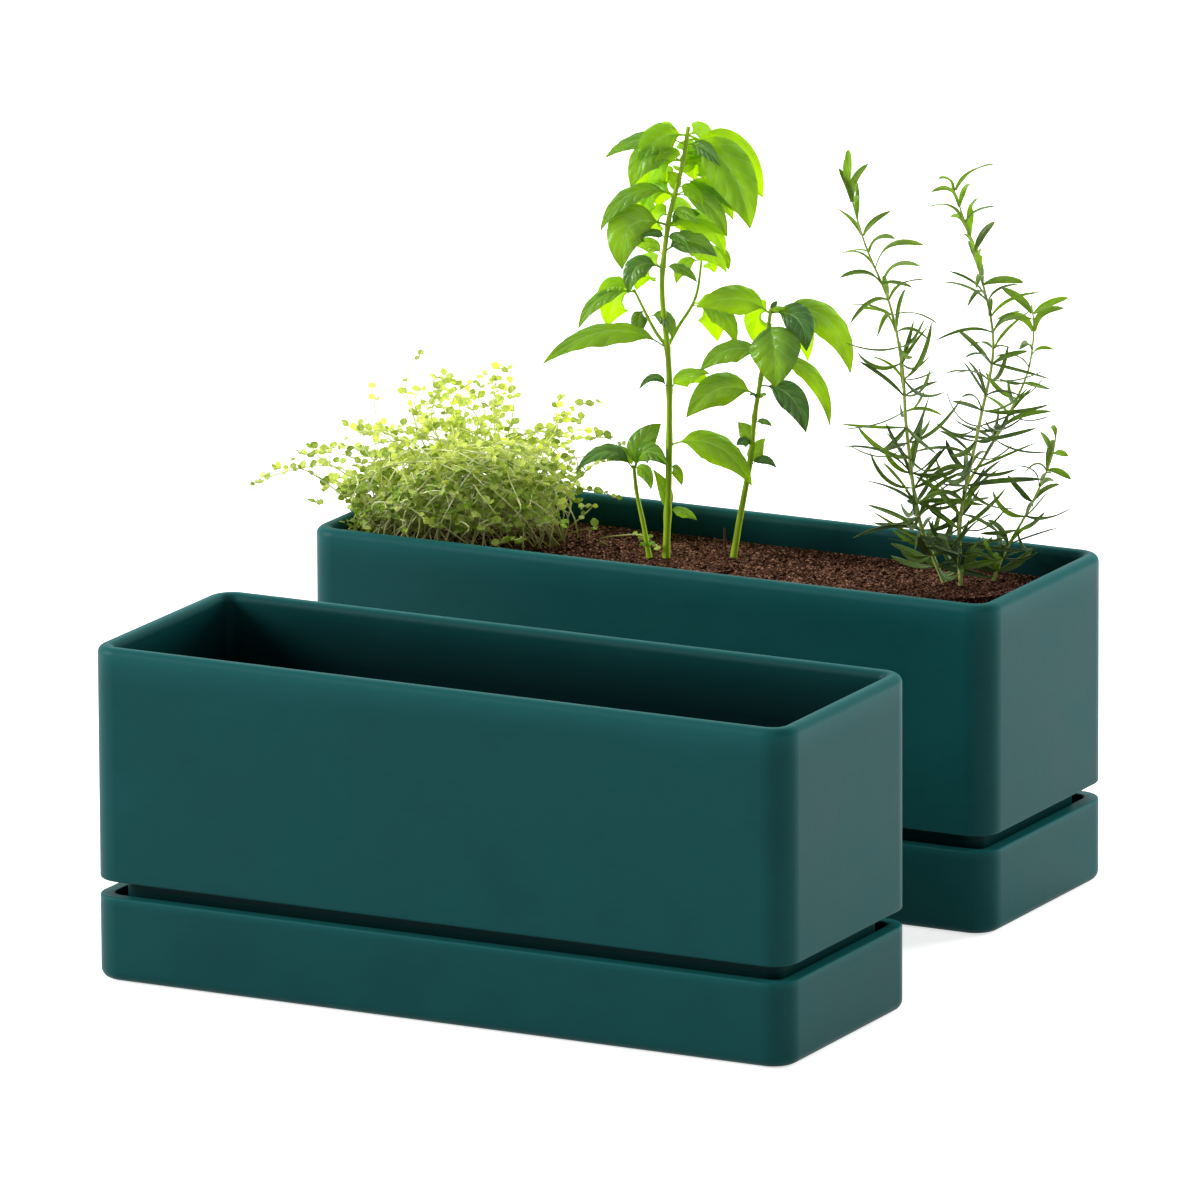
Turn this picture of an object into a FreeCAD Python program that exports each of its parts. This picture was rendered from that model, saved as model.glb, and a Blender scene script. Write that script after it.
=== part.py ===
import FreeCAD, Part
import math
import os
import Sketcher

# Indoor herb planter set: two long glazed pots, each with a foot that stands in its own saucer.
# The front pot is empty. The rear pot holds soil with thyme, basil and tarragon.
# Millimetres. Origin: the middle of the front saucer's underside. X runs along the pots, Y to the
# back and Z up.

Vector = FreeCAD.Vector
doc = FreeCAD.newDocument("herb_planter_set")

# Driving dimensions
SIZES = [
    # pots
    ("pot_length", 305.0),
    ("pot_width", 108.0),
    ("pot_top", 134.0),  # rim above the surface that the set stands on
    ("pot_underside", 40.2),  # lower edge of the pot's body, above the same surface
    ("corner_radius", 11.0),
    ("wall", 7.0),
    ("rim_round", 3.2),
    ("underside_round", 1.2),
    ("cavity_round", 2.5),
    ("foot_inset", 9.0),  # from the pot's face to its foot
    ("foot_corner_radius", 7.0),
    ("foot_cavity_radius", 3.5),
    ("foot_floor", 9.0),  # thickness of the pot's floor
    ("foot_ring", 8.0),  # width of the ring that the pot stands on
    ("foot_recess", 2.0),  # height of the hollow inside that ring
    ("notch_width", 12.0),  # drain notch through the ring at each end
    ("drain_diameter", 10.0),
    ("drain_spacing", 85.0),
    # saucers
    ("saucer_height", 34.0),
    ("saucer_wall", 6.0),
    ("saucer_floor", 6.0),
    ("saucer_rim_round", 0.8),
    ("saucer_base_round", 4.0),
    ("saucer_inner_round", 2.0),
    # where the rear planter stands
    ("rear_across", -18.0),
    ("rear_back", 212.0),
    # soil
    ("soil_drop", 12.0),  # from the rim down to the soil
    ("soil_swell", 2.5),  # how much the soil's surface rises and falls
    ("soil_clearance", 0.2),
    ("ball_rise", 1.0),  # root balls stand this far out of the level soil
    ("ball_taper", 4.0),  # loss of radius from a root ball's top to its bottom
    ("cut_overrun", 30.0),
    ("same_place", 0.001),
    # the herbs spread in planes turned from the pot's length, in degrees
    ("herb_turn", 27.6),
    ("leaf_gap", 0.15),  # from a stem's skin to the foot of a leaf
    # thyme
    ("thyme_inset", 40.5),  # from the cavity's left end to the middle of the herb
    ("thyme_back", 8.0),
    ("thyme_ball_radius", 34.0),
    ("thyme_ball_depth", 48.0),
    ("thyme_height", 72.0),
    ("thyme_reach", 56.0),
    ("thyme_crown_radius", 27.0),
    ("thyme_stem_radius", 0.55),
    ("thyme_tip_radius", 0.3),
    ("thyme_leaf_length", 4.4),
    ("thyme_leaf_width", 3.4),
    ("thyme_leaf_thickness", 0.4),
    ("thyme_leaf_pitch", 5.5),
    # basil
    ("basil_place", -12.0),  # along the pot from its middle
    ("basil_back", 10.0),
    ("basil_ball_radius", 27.0),
    ("basil_ball_depth", 52.0),
    ("basil_height", 177.0),
    ("basil_stem_radius", 1.9),
    ("basil_tip_radius", 0.9),
    ("basil_leaf_length", 46.0),
    ("basil_leaf_width", 21.0),
    ("basil_leaf_thickness", 0.7),
    ("basil_side_height", 102.0),
    ("basil_side_radius", 1.5),
    ("basil_shoot_height", 38.0),
    ("basil_shoot_radius", 1.2),
    ("twig_height", 12.0),
    ("twig_radius", 0.7),
    # tarragon
    ("tarragon_inset", 40.5),  # from the cavity's right end to the middle of the herb
    ("tarragon_back", 18.0),
    ("tarragon_ball_radius", 23.0),
    ("tarragon_ball_depth", 50.0),
    ("tarragon_height", 166.0),
    ("tarragon_stem_radius", 1.5),
    ("tarragon_tip_radius", 0.5),
    ("tarragon_thin_radius", 0.9),
    ("tarragon_leaf_length", 19.0),
    ("tarragon_leaf_width", 2.4),
    ("tarragon_leaf_thickness", 0.5),
    ("tarragon_leaf_pitch", 4.2),
]

sheet = doc.addObject("Spreadsheet::Sheet", "Sizes")
for row, (alias, value) in enumerate(SIZES, start=1):
    sheet.set("A%d" % row, alias)
    sheet.set("B%d" % row, str(value))
    sheet.setAlias("B%d" % row, alias)
doc.recompute()


def size(alias):
    return float(getattr(sheet, alias))


def worth(formula):
    """The number that a formula of the sheet's values gives."""
    return float(sheet.evalExpression(formula))


# Sketches and features of the pots and saucers


def origin_plane(body, role):
    return [feature for feature in body.Origin.OriginFeatures if feature.Role == role][0]


def flat_sketch(body, name, level):
    """An empty horizontal sketch at a level, which is a formula."""
    sketch = body.newObject("Sketcher::SketchObject", name)
    sketch.AttachmentSupport = [(origin_plane(body, "XY_Plane"), "")]
    sketch.MapMode = "FlatFace"
    sketch.setExpression("AttachmentOffset.Base.z", level)
    return sketch


def drive(sketch, constraint, formula):
    index = sketch.addConstraint(constraint)
    sketch.setExpression("Constraints[%d]" % index, formula)


def rounded_rectangle(body, name, level, length, width, radius):
    """A centred rectangle with round corners. Every size is a formula."""
    sketch = flat_sketch(body, name, level)
    a = worth(length) / 2
    b = worth(width) / 2
    r = worth(radius)
    for k in range(4):
        turn = FreeCAD.Rotation(Vector(0, 0, 1), 90 * k)
        along, out = (a, b) if k % 2 == 0 else (b, a)
        start = turn.multVec(Vector(r - along, -out, 0))
        end = turn.multVec(Vector(along - r, -out, 0))
        centre = turn.multVec(Vector(along - r, r - out, 0))
        first = math.radians(90 * k - 90)
        circle = Part.Circle(centre, Vector(0, 0, 1), r)
        sketch.addGeometry(Part.LineSegment(start, end), False)
        sketch.addGeometry(Part.ArcOfCircle(circle, first, first + math.pi / 2), False)
    rule = Sketcher.Constraint
    for k in range(4):
        line = 2 * k
        arc = 2 * k + 1
        following = (2 * k + 2) % 8
        sketch.addConstraint(rule("Tangent", line, 2, arc, 1))
        sketch.addConstraint(rule("Tangent", arc, 2, following, 1))
        sketch.addConstraint(rule("Horizontal" if k % 2 == 0 else "Vertical", line))
    for arc in (3, 5, 7):
        sketch.addConstraint(rule("Equal", 1, arc))
    sketch.addConstraint(rule("Symmetric", 0, 1, 4, 1, -1, 1))
    drive(sketch, rule("DistanceX", 6, 1, 2, 1, 2 * a), length)
    drive(sketch, rule("DistanceY", 0, 1, 4, 1, 2 * b), width)
    drive(sketch, rule("Radius", 1, r), radius)
    return sketch


def extrude(body, kind, sketch, depth, upward):
    """A Pad or Pocket from a sketch, up or down. It stops with an error if it changes nothing."""
    before = body.Shape.Volume if body.Tip else 0
    feature = body.newObject("PartDesign::" + kind, kind + "_" + sketch.Name)
    feature.Profile = sketch
    feature.setExpression("Length", depth)
    feature.Reversed = upward if kind == "Pocket" else not upward
    sketch.Visibility = False
    doc.recompute()
    change = body.Shape.Volume - before
    if change * (1 if kind == "Pad" else -1) <= 0:
        raise ValueError(feature.Label + " changes no volume")
    return feature


def loop_edges(shape, level, length, width):
    """Names of the level edges on the outline of a centred rectangle. All three are formulas."""
    z = worth(level)
    a = worth(length) / 2
    b = worth(width) / 2
    near = size("same_place")

    def on_loop(point):
        on_side = abs(abs(point.x) - a) < near or abs(abs(point.y) - b) < near
        return on_side and abs(point.z - z) < near

    names = []
    for number, edge in enumerate(shape.Edges, start=1):
        if all(on_loop(vertex.Point) for vertex in edge.Vertexes):
            if abs(edge.BoundBox.ZMax - edge.BoundBox.ZMin) < near:
                names.append("Edge%d" % number)
    return names


def round_loops(body, name, loops, radius):
    """Fillets on one or more level loops, each a (level, length, width) of formulas."""
    base = body.Tip
    names = []
    for level, length, width in loops:
        names += loop_edges(base.Shape, level, length, width)
    feature = body.newObject("PartDesign::Fillet", name)
    feature.Base = (base, names)
    feature.setExpression("Radius", radius)
    doc.recompute()
    return feature


def new_body(name, rear):
    body = doc.addObject("PartDesign::Body", name)
    body.Label = name
    if rear:
        body.setExpression("Placement.Base.x", "Sizes.rear_across")
        body.setExpression("Placement.Base.y", "Sizes.rear_back")
    return body


# Outlines of the pot, as (length, width) formulas

POT = ("Sizes.pot_length", "Sizes.pot_width")
CAVITY = tuple(side + " - 2 * Sizes.wall" for side in POT)
FOOT = tuple(side + " - 2 * Sizes.foot_inset" for side in POT)
FOOT_CAVITY = tuple(side + " - 2 * Sizes.wall" for side in FOOT)
FOOT_HOLLOW = tuple(side + " - 2 * Sizes.foot_ring" for side in FOOT)
SHELF = "Sizes.pot_underside + Sizes.wall"
POT_FLOOR = "Sizes.saucer_floor + Sizes.foot_floor"
CAVITY_RADIUS = "Sizes.corner_radius - Sizes.wall"


def make_pot(name, rear):
    """The pot: a box with round corners on a narrower foot, hollow down to a floor with drain holes."""
    body = new_body(name, rear)
    outside = rounded_rectangle(body, name + "_outside", "Sizes.pot_underside", *POT, "Sizes.corner_radius")
    extrude(body, "Pad", outside, "Sizes.pot_top - Sizes.pot_underside", True)
    foot = rounded_rectangle(body, name + "_foot", "Sizes.saucer_floor", *FOOT, "Sizes.foot_corner_radius")
    extrude(body, "Pad", foot, "Sizes.pot_underside - Sizes.saucer_floor", True)
    cavity = rounded_rectangle(body, name + "_cavity", "Sizes.pot_top", *CAVITY, CAVITY_RADIUS)
    extrude(body, "Pocket", cavity, "Sizes.pot_top - Sizes.pot_underside - Sizes.wall", False)
    lower = rounded_rectangle(
        body, name + "_foot_cavity", "Sizes.pot_top", *FOOT_CAVITY, "Sizes.foot_cavity_radius"
    )
    extrude(body, "Pocket", lower, "Sizes.pot_top - Sizes.saucer_floor - Sizes.foot_floor", False)
    hollow = rounded_rectangle(
        body, name + "_foot_hollow", "Sizes.saucer_floor", *FOOT_HOLLOW, "Sizes.foot_cavity_radius"
    )
    extrude(body, "Pocket", hollow, "Sizes.foot_recess", True)
    drains = drain_circles(body, name + "_drains")
    extrude(body, "Pocket", drains, "Sizes.foot_floor + Sizes.cut_overrun", True)
    notch = end_notches(body, name + "_notches")
    extrude(body, "Pocket", notch, "Sizes.foot_recess", True)
    rim = [("Sizes.pot_top", *POT), ("Sizes.pot_top", *CAVITY)]
    round_loops(body, name + "_rim", rim, "Sizes.rim_round")
    round_loops(body, name + "_underside", [("Sizes.pot_underside", *POT)], "Sizes.underside_round")
    inner = [(SHELF, *CAVITY), (POT_FLOOR, *FOOT_CAVITY)]
    round_loops(body, name + "_inner", inner, "Sizes.cavity_round")
    return body


def drain_circles(body, name):
    """A row of three circles along the middle of the foot's floor."""
    sketch = flat_sketch(body, name, "Sizes.saucer_floor")
    rule = Sketcher.Constraint
    radius = size("drain_diameter") / 2
    for place in (-1, 0, 1):
        centre = Vector(place * size("drain_spacing"), 0, 0)
        circle = sketch.addGeometry(Part.Circle(centre, Vector(0, 0, 1), radius), False)
        drive(sketch, rule("Diameter", circle, 2 * radius), "Sizes.drain_diameter")
        if place == 0:
            sketch.addConstraint(rule("Coincident", circle, 3, -1, 1))
            continue
        sketch.addConstraint(rule("PointOnObject", circle, 3, -1))
        ends = (circle, 3, -1, 1) if place < 0 else (-1, 1, circle, 3)
        drive(sketch, rule("DistanceX", *ends, size("drain_spacing")), "Sizes.drain_spacing")
    return sketch


def end_notches(body, name):
    """A strip across both ends of the foot's ring, for the water to run out."""
    sketch = flat_sketch(body, name, "Sizes.saucer_floor")
    rule = Sketcher.Constraint
    length = FOOT[0] + " + Sizes.cut_overrun"
    a = worth(length) / 2
    b = size("notch_width") / 2
    corners = [Vector(-a, -b, 0), Vector(a, -b, 0), Vector(a, b, 0), Vector(-a, b, 0)]
    for k in range(4):
        sketch.addGeometry(Part.LineSegment(corners[k], corners[(k + 1) % 4]), False)
    for k in range(4):
        sketch.addConstraint(rule("Coincident", k, 2, (k + 1) % 4, 1))
        sketch.addConstraint(rule("Horizontal" if k % 2 == 0 else "Vertical", k))
    sketch.addConstraint(rule("Symmetric", 0, 1, 2, 1, -1, 1))
    drive(sketch, rule("DistanceX", 0, 1, 0, 2, 2 * a), length)
    drive(sketch, rule("DistanceY", 1, 1, 1, 2, 2 * b), "Sizes.notch_width")
    return sketch


def make_saucer(name, rear):
    """The saucer: an open box with round corners and the pot's outline."""
    body = new_body(name, rear)
    inside = tuple(side + " - 2 * Sizes.saucer_wall" for side in POT)
    outside = rounded_rectangle(body, name + "_outside", "0", *POT, "Sizes.corner_radius")
    extrude(body, "Pad", outside, "Sizes.saucer_height", True)
    tray = rounded_rectangle(
        body, name + "_tray", "Sizes.saucer_height", *inside, "Sizes.corner_radius - Sizes.saucer_wall"
    )
    extrude(body, "Pocket", tray, "Sizes.saucer_height - Sizes.saucer_floor", False)
    rim = [("Sizes.saucer_height", *POT), ("Sizes.saucer_height", *inside)]
    round_loops(body, name + "_rim", rim, "Sizes.saucer_rim_round")
    round_loops(body, name + "_base", [("0", *POT)], "Sizes.saucer_base_round")
    round_loops(body, name + "_inner", [("Sizes.saucer_floor", *inside)], "Sizes.saucer_inner_round")
    return body


PARTS = []
for planter, is_rear in (("front", False), ("rear", True)):
    PARTS.append(make_saucer(planter + "_saucer", is_rear))
    PARTS.append(make_pot(planter + "_pot", is_rear))


# Free-form pieces, in the set's own frame

UP = Vector(0, 0, 1)
soil_level = size("pot_top") - size("soil_drop")
crown_level = soil_level + size("ball_rise")
turn = math.radians(size("herb_turn"))
ACROSS = Vector(math.cos(turn), math.sin(turn), 0)
AWAY = Vector(-math.sin(turn), math.cos(turn), 0)


def keep(name, solids):
    """A node from one solid or several."""
    feature = doc.addObject("Part::Feature", name)
    feature.Label = name
    feature.Shape = solids[0] if len(solids) == 1 else Part.makeCompound(solids)
    PARTS.append(feature)
    return feature


# Where each herb stands along the pot, from the pot's middle
PLACES = {
    "thyme": "Sizes.thyme_inset + Sizes.wall - Sizes.pot_length / 2",
    "basil": "Sizes.basil_place",
    "tarragon": "Sizes.pot_length / 2 - Sizes.wall - Sizes.tarragon_inset",
}


def crown(herb):
    """The middle of a herb's root ball at its top."""
    place = size("rear_across") + worth(PLACES[herb])
    return Vector(place, size("rear_back") + size(herb + "_back"), crown_level)


def root_ball(herb):
    """A tapered plug of roots, set in the soil."""
    cone = doc.addObject("Part::Cone", herb + "_root_ball")
    cone.Label = herb + "_root_ball"
    cone.setExpression("Radius1", "Sizes.%s_ball_radius - Sizes.ball_taper" % herb)
    cone.setExpression("Radius2", "Sizes.%s_ball_radius" % herb)
    cone.setExpression("Height", "Sizes.%s_ball_depth" % herb)
    cone.setExpression("Placement.Base.x", "Sizes.rear_across + " + PLACES[herb])
    cone.setExpression("Placement.Base.y", "Sizes.rear_back + Sizes.%s_back" % herb)
    level = "Sizes.pot_top - Sizes.soil_drop + Sizes.ball_rise - Sizes.%s_ball_depth" % herb
    cone.setExpression("Placement.Base.z", level)
    PARTS.append(cone)
    return cone


for herb_name in PLACES:
    root_ball(herb_name)


# Soil

# Height of the soil's surface in shares of its swell, from front to back, left to right
SURFACE_SHARES = [
    (-0.2, 0.3, 0.1, 0.5, 0.2, -0.4, -0.2, 0.3, -0.1),
    (0.2, 0.4, 0.3, 0.4, 0.5, 0.1, -0.2, 0.4, 0.3),
    (-0.3, 0.1, 0.2, 0.4, 0.5, 0.3, -0.9, 0.1, 0.0),
]


def rounded_block(length, width, radius, bottom, top):
    """A block with round corners whose bottom edge is rounded as the cavity's is."""
    block = Part.makeBox(length, width, top - bottom, Vector(-length / 2, -width / 2, bottom))
    upright = [edge for edge in block.Edges if edge.BoundBox.ZLength > (top - bottom) / 2]
    block = block.makeFillet(radius, upright)
    lowest = [edge for edge in block.Edges if edge.BoundBox.ZMax < (top + bottom) / 2]
    return block.makeFillet(size("cavity_round"), lowest)


def make_soil():
    """Soil that fills the rear pot's cavity up to an uneven surface, with room for the root balls."""
    gap = size("soil_clearance")
    upper = [worth(side) - 2 * gap for side in CAVITY]
    lower = [worth(side) - 2 * gap for side in FOOT_CAVITY]
    shelf = worth(SHELF) + gap
    floor = worth(POT_FLOOR) + gap
    soil = rounded_block(*upper, worth(CAVITY_RADIUS), shelf, size("pot_top"))
    foot = rounded_block(*lower, size("foot_cavity_radius"), floor, size("pot_top"))
    soil = soil.fuse(foot)
    rows = len(SURFACE_SHARES)
    columns = len(SURFACE_SHARES[0])
    points = []
    for j in range(rows):
        y = (j / (rows - 1) - 0.5) * size("pot_width")
        shares = SURFACE_SHARES[j]
        line = []
        for i in range(columns):
            x = (i / (columns - 1) - 0.5) * size("pot_length")
            line.append(Vector(x, y, soil_level + shares[i] * size("soil_swell")))
        points.append(line)
    surface = Part.BSplineSurface()
    surface.interpolate(points)
    air = surface.toShape().extrude(UP * (size("soil_drop") + size("cut_overrun")))
    soil = soil.cut(air)
    soil.translate(Vector(size("rear_across"), size("rear_back"), 0))
    balls = []
    for herb in PLACES:
        radius = size(herb + "_ball_radius") + gap
        depth = size(herb + "_ball_depth") + gap
        cone = Part.makeCone(radius - size("ball_taper"), radius, depth, crown(herb) - UP * depth)
        rise = Part.makeCylinder(radius, size("cut_overrun"), crown(herb))
        balls.append(cone.fuse(rise))
    return soil.cut(balls)


keep("potting_soil", [make_soil()])


# Stems and leaves

# Half width of a leaf along its length, as (share of the length, share of the half width)
BASIL_LEAF_SHARES = [(0, 0.07), (0.13, 0.08), (0.3, 0.8), (0.5, 1), (0.75, 0.66), (1, 0.03)]
THYME_LEAF_SHARES = [(0, 0.15), (0.2, 0.25), (0.45, 0.95), (0.72, 0.85), (1, 0.15)]
NARROW_LEAF_SHARES = [(0, 0.35), (0.25, 0.85), (0.55, 1), (0.8, 0.65), (1, 0.1)]
FOLD_SHARE = 0.25  # how far a leaf's edges stand above its middle, in half widths


class Stem:
    """A tapered stem along a smooth line through points, starting straight up or as told."""

    def __init__(self, points, first_radius, last_radius, start=UP):
        self.curve = Part.BSplineCurve()
        final = (points[-1] - points[-2]).normalize()
        self.curve.interpolate(Points=points, InitialTangent=start, FinalTangent=final)
        self.radii = (first_radius, last_radius)
        self.stations = 3 * len(points)

    def at(self, share):
        """Place, direction and radius at a share of the way up."""
        first = self.curve.FirstParameter
        span = self.curve.LastParameter - first
        place = self.curve.value(first + share * span)
        direction = self.curve.tangent(first + share * span)[0]
        radius = self.radii[0] + share * (self.radii[1] - self.radii[0])
        return place, direction, radius

    def solid(self):
        rings = []
        for k in range(self.stations + 1):
            place, direction, radius = self.at(k / self.stations)
            ring = Part.Circle(Vector(0, 0, 0), UP, radius).toShape()
            ring.Placement = FreeCAD.Placement(place, FreeCAD.Rotation(UP, direction))
            rings.append(Part.Wire(ring))
        return Part.makeLoft(rings, True, False)


def leaf(foot, heading, rise, arch, length, width, thickness, shares):
    """A thin leaf with a slight fold, bent from its first slope by an arch, both in degrees."""
    side = UP.cross(heading)
    rings = []
    place = Vector(foot)
    reached = 0
    for share, half_share in shares:
        middle = math.radians(rise - arch * (share + reached) / 2)
        run = heading * math.cos(middle) + UP * math.sin(middle)
        place = place + run * ((share - reached) * length)
        reached = share
        slope = math.radians(rise - arch * share)
        above = UP * math.cos(slope) - heading * math.sin(slope)
        half = half_share * width / 2
        lift = above * (FOLD_SHARE * half)
        outer = [side * half + lift, above * (thickness / 2), side * -half + lift, above * (thickness / -2)]
        corners = [place + step for step in outer]
        rings.append(Part.makePolygon(corners + corners[:1]))
    return Part.makeLoft(rings, True, False)


def heading_of(angle):
    """The level direction at an angle, in degrees, from the herb's plane."""
    return ACROSS * math.cos(math.radians(angle)) + AWAY * math.sin(math.radians(angle))


def leaf_on(stem, share, angle, rise, arch, length, width, thickness, shares):
    """A leaf whose foot stands just off the stem's skin."""
    place, direction, radius = stem.at(share)
    heading = heading_of(angle)
    out = (heading - direction * heading.dot(direction)).normalize()
    foot = place + out * (radius + size("leaf_gap") + thickness / 2)
    return leaf(foot, heading, rise, arch, length, width, thickness, shares)


def plane_points(base, height, shares):
    """Points from (up, across, away) shares of a height."""
    points = [base]
    for up, across, away in shares:
        points.append(base + UP * (up * height) + ACROSS * (across * height) + AWAY * (away * height))
    return points


# Basil

# Lines of the stems as (up, across, away) shares of each stem's height
BASIL_MAIN_SHARES = [
    (0.2, 0.007, 0.004),
    (0.39, 0.009, 0.006),
    (0.485, 0.005, 0.004),
    (0.63, -0.007, 0.0),
    (0.77, 0.007, -0.004),
    (0.84, 0.022, -0.008),
    (0.92, 0.042, -0.01),
    (1.0, 0.054, -0.01),
]
BASIL_SIDE_SHARES = [
    (0.15, 0.025, 0.01),
    (0.37, 0.065, 0.02),
    (0.56, 0.085, 0.02),
    (0.72, 0.11, 0.01),
    (1.0, 0.15, 0.0),
]
BASIL_SHOOT_SHARES = [(0.35, -0.06, 0.02), (0.7, -0.13, 0.02), (1.0, -0.16, 0.0)]
LEFT_BRANCH_SHARES = [(0.04, -0.03, 0.01), (0.13, -0.075, 0.02)]
RIGHT_BRANCH_SHARES = [(0.04, 0.025, 0.03), (0.1, 0.065, 0.07), (0.19, 0.08, 0.1)]
BRANCH_SHARE = 0.485  # where the branches leave the main stem
BRANCH_RADIUS_SHARE = 0.5

# Leaves: share up the stem, heading, first slope and bend in degrees, shares of length and width
BASIL_MAIN_LEAVES_SHARES = [
    (0.26, 345, 25, 65, 0.88, 0.85),
    (0.27, 150, 50, 60, 0.45, 0.7),
    (0.39, 170, 25, 70, 0.3, 0.35),
    (0.39, 20, 30, 40, 0.42, 0.5),
    (0.485, 190, 12, 45, 1.08, 0.75),
    (0.67, 175, 20, 95, 0.6, 0.8),
    (0.67, 325, 15, 60, 0.62, 0.8),
    (0.77, 215, 10, 95, 0.9, 0.95),
    (0.77, 10, 8, 30, 0.85, 0.7),
    (0.84, 180, 40, 100, 1.0, 0.6),
    (0.84, 325, 40, 100, 0.85, 0.75),
    (0.84, 90, 20, 50, 0.8, 0.9),
    (0.92, 205, 25, 90, 0.8, 0.9),
    (0.92, 70, 20, 80, 0.7, 0.8),
    (0.985, 178, 30, 60, 0.8, 0.8),
    (0.985, 335, 5, 85, 1.3, 1.0),
    (0.985, 35, 5, 80, 1.25, 1.0),
    (0.985, 115, 5, 60, 0.9, 0.8),
]
LEFT_BRANCH_LEAVES_SHARES = [
    (0.75, 200, 25, 60, 0.75, 0.6),
    (0.98, 120, 20, 70, 0.5, 0.7),
    (0.7, 290, 10, 80, 0.4, 0.5),
]
RIGHT_BRANCH_LEAVES_SHARES = [
    (0.5, 15, 20, 90, 0.62, 0.6),
    (0.55, 80, 10, 80, 0.65, 0.8),
    (0.98, 100, 30, 60, 0.6, 0.7),
]
BASIL_SIDE_LEAVES_SHARES = [
    (0.38, 20, 45, 20, 0.33, 0.5),
    (0.53, 200, 45, 20, 0.33, 0.5),
    (0.7, 205, 25, 60, 0.75, 0.8),
    (0.74, 340, 20, 80, 0.85, 0.7),
    (0.8, 15, 25, 80, 1.1, 0.5),
    (0.9, 268, 0, 75, 0.75, 1.1),
    (0.985, 182, 15, 45, 0.8, 0.95),
    (0.985, 338, 5, 60, 0.85, 0.8),
    (0.985, 20, 15, 75, 1.1, 0.8),
    (0.985, 100, 10, 60, 0.75, 0.9),
]
BASIL_SHOOT_LEAVES_SHARES = [
    (0.97, 185, 20, 70, 0.72, 0.6),
    (0.97, 130, 50, 60, 0.5, 0.7),
    (0.97, 65, 45, 70, 0.4, 0.7),
    (0.97, 300, 10, 70, 0.4, 0.6),
]
# Where the stems stand on the basil's root ball, in shares of its radius
MAIN_PLACE_SHARE = -0.37
SIDE_PLACE_SHARE = 0.63
SHOOT_PLACE_SHARE = -0.62
TWIG_SHARES = [(0.52, -0.05, 1.0), (0.42, -0.2, 0.65)]
TIP_RADIUS_SHARE = 0.45  # of a basil side stem's or branch's first radius


def branch(stem, share, points_shares, height, first_radius, last_radius):
    """A side branch that grows from inside a stem."""
    base, direction, radius = stem.at(share)
    points = plane_points(base, height, points_shares)
    return Stem(points, first_radius, last_radius, (points[1] - base).normalize())


def basil_leaves(stem, table):
    length = size("basil_leaf_length")
    width = size("basil_leaf_width")
    thickness = size("basil_leaf_thickness")
    solids = []
    for share, angle, rise, arch, length_share, width_share in table:
        reach = length * length_share
        breadth = width * width_share
        solids.append(
            leaf_on(stem, share, angle, rise, arch, reach, breadth, thickness, BASIL_LEAF_SHARES)
        )
    return solids


def make_basil():
    """Three stems on one root ball, each with its leaves, and two dry twigs."""
    base = crown("basil")
    ball = size("basil_ball_radius")
    height = size("basil_height")
    thick = size("basil_stem_radius")
    thin = thick * BRANCH_RADIUS_SHARE
    slight = thin * TIP_RADIUS_SHARE
    foot = base + ACROSS * (ball * MAIN_PLACE_SHARE)
    main = Stem(plane_points(foot, height, BASIL_MAIN_SHARES), thick, size("basil_tip_radius"))
    left = branch(main, BRANCH_SHARE, LEFT_BRANCH_SHARES, height, thin, slight)
    right = branch(main, BRANCH_SHARE, RIGHT_BRANCH_SHARES, height, thin, slight)
    keep("basil_main_stem", [main.solid().fuse([left.solid(), right.solid()])])
    leaves = basil_leaves(main, BASIL_MAIN_LEAVES_SHARES)
    leaves += basil_leaves(left, LEFT_BRANCH_LEAVES_SHARES)
    leaves += basil_leaves(right, RIGHT_BRANCH_LEAVES_SHARES)
    keep("basil_main_leaves", leaves)
    for name, place_share, line_shares, table in (
        ("side", SIDE_PLACE_SHARE, BASIL_SIDE_SHARES, BASIL_SIDE_LEAVES_SHARES),
        ("shoot", SHOOT_PLACE_SHARE, BASIL_SHOOT_SHARES, BASIL_SHOOT_LEAVES_SHARES),
    ):
        radius = size("basil_%s_radius" % name)
        foot = base + ACROSS * (ball * place_share)
        points = plane_points(foot, size("basil_%s_height" % name), line_shares)
        stem = Stem(points, radius, radius * TIP_RADIUS_SHARE)
        keep("basil_%s_stem" % name, [stem.solid()])
        keep("basil_%s_leaves" % name, basil_leaves(stem, table))
    twigs = []
    for across_share, lean_share, height_share in TWIG_SHARES:
        foot = base + ACROSS * (ball * across_share)
        reach = size("twig_height") * height_share
        points = plane_points(foot, reach, [(0.5, lean_share / 2, 0), (1, lean_share, 0)])
        radius = size("twig_radius")
        twigs.append(Stem(points, radius, radius * TIP_RADIUS_SHARE).solid())
    keep("dry_twigs", twigs)


make_basil()


# Tarragon

TARRAGON_STEMS = ("left", "right", "thin")
# Foot as (across, away) shares of the root ball's radius, and line as shares of the herb's height
TARRAGON_FOOT_SHARES = {"left": (-0.3, 0.1), "right": (-0.02, -0.1), "thin": (0.55, 0.2)}
TARRAGON_LINE_SHARES = {
    "left": [
        (0.16, -0.06, -0.01),
        (0.38, -0.09, -0.02),
        (0.53, -0.1, -0.02),
        (0.69, -0.13, -0.03),
        (0.84, -0.19, -0.02),
        (1.0, -0.235, -0.01),
    ],
    "right": [
        (0.16, 0.0, 0.02),
        (0.38, 0.045, 0.05),
        (0.58, 0.08, 0.07),
        (0.78, 0.04, 0.07),
        (0.975, -0.02, 0.06),
    ],
    "thin": [(0.07, 0.03, 0.02), (0.17, 0.09, 0.05), (0.28, 0.14, 0.07), (0.36, 0.155, 0.07)],
}
# The right stem's side branch leaves it at a share of its height
SPRIG_SHARE = 0.24
SPRIG_LINE_SHARES = [(0.1, 0.07, 0.06), (0.24, 0.145, 0.1), (0.35, 0.165, 0.11), (0.42, 0.16, 0.11)]
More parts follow.
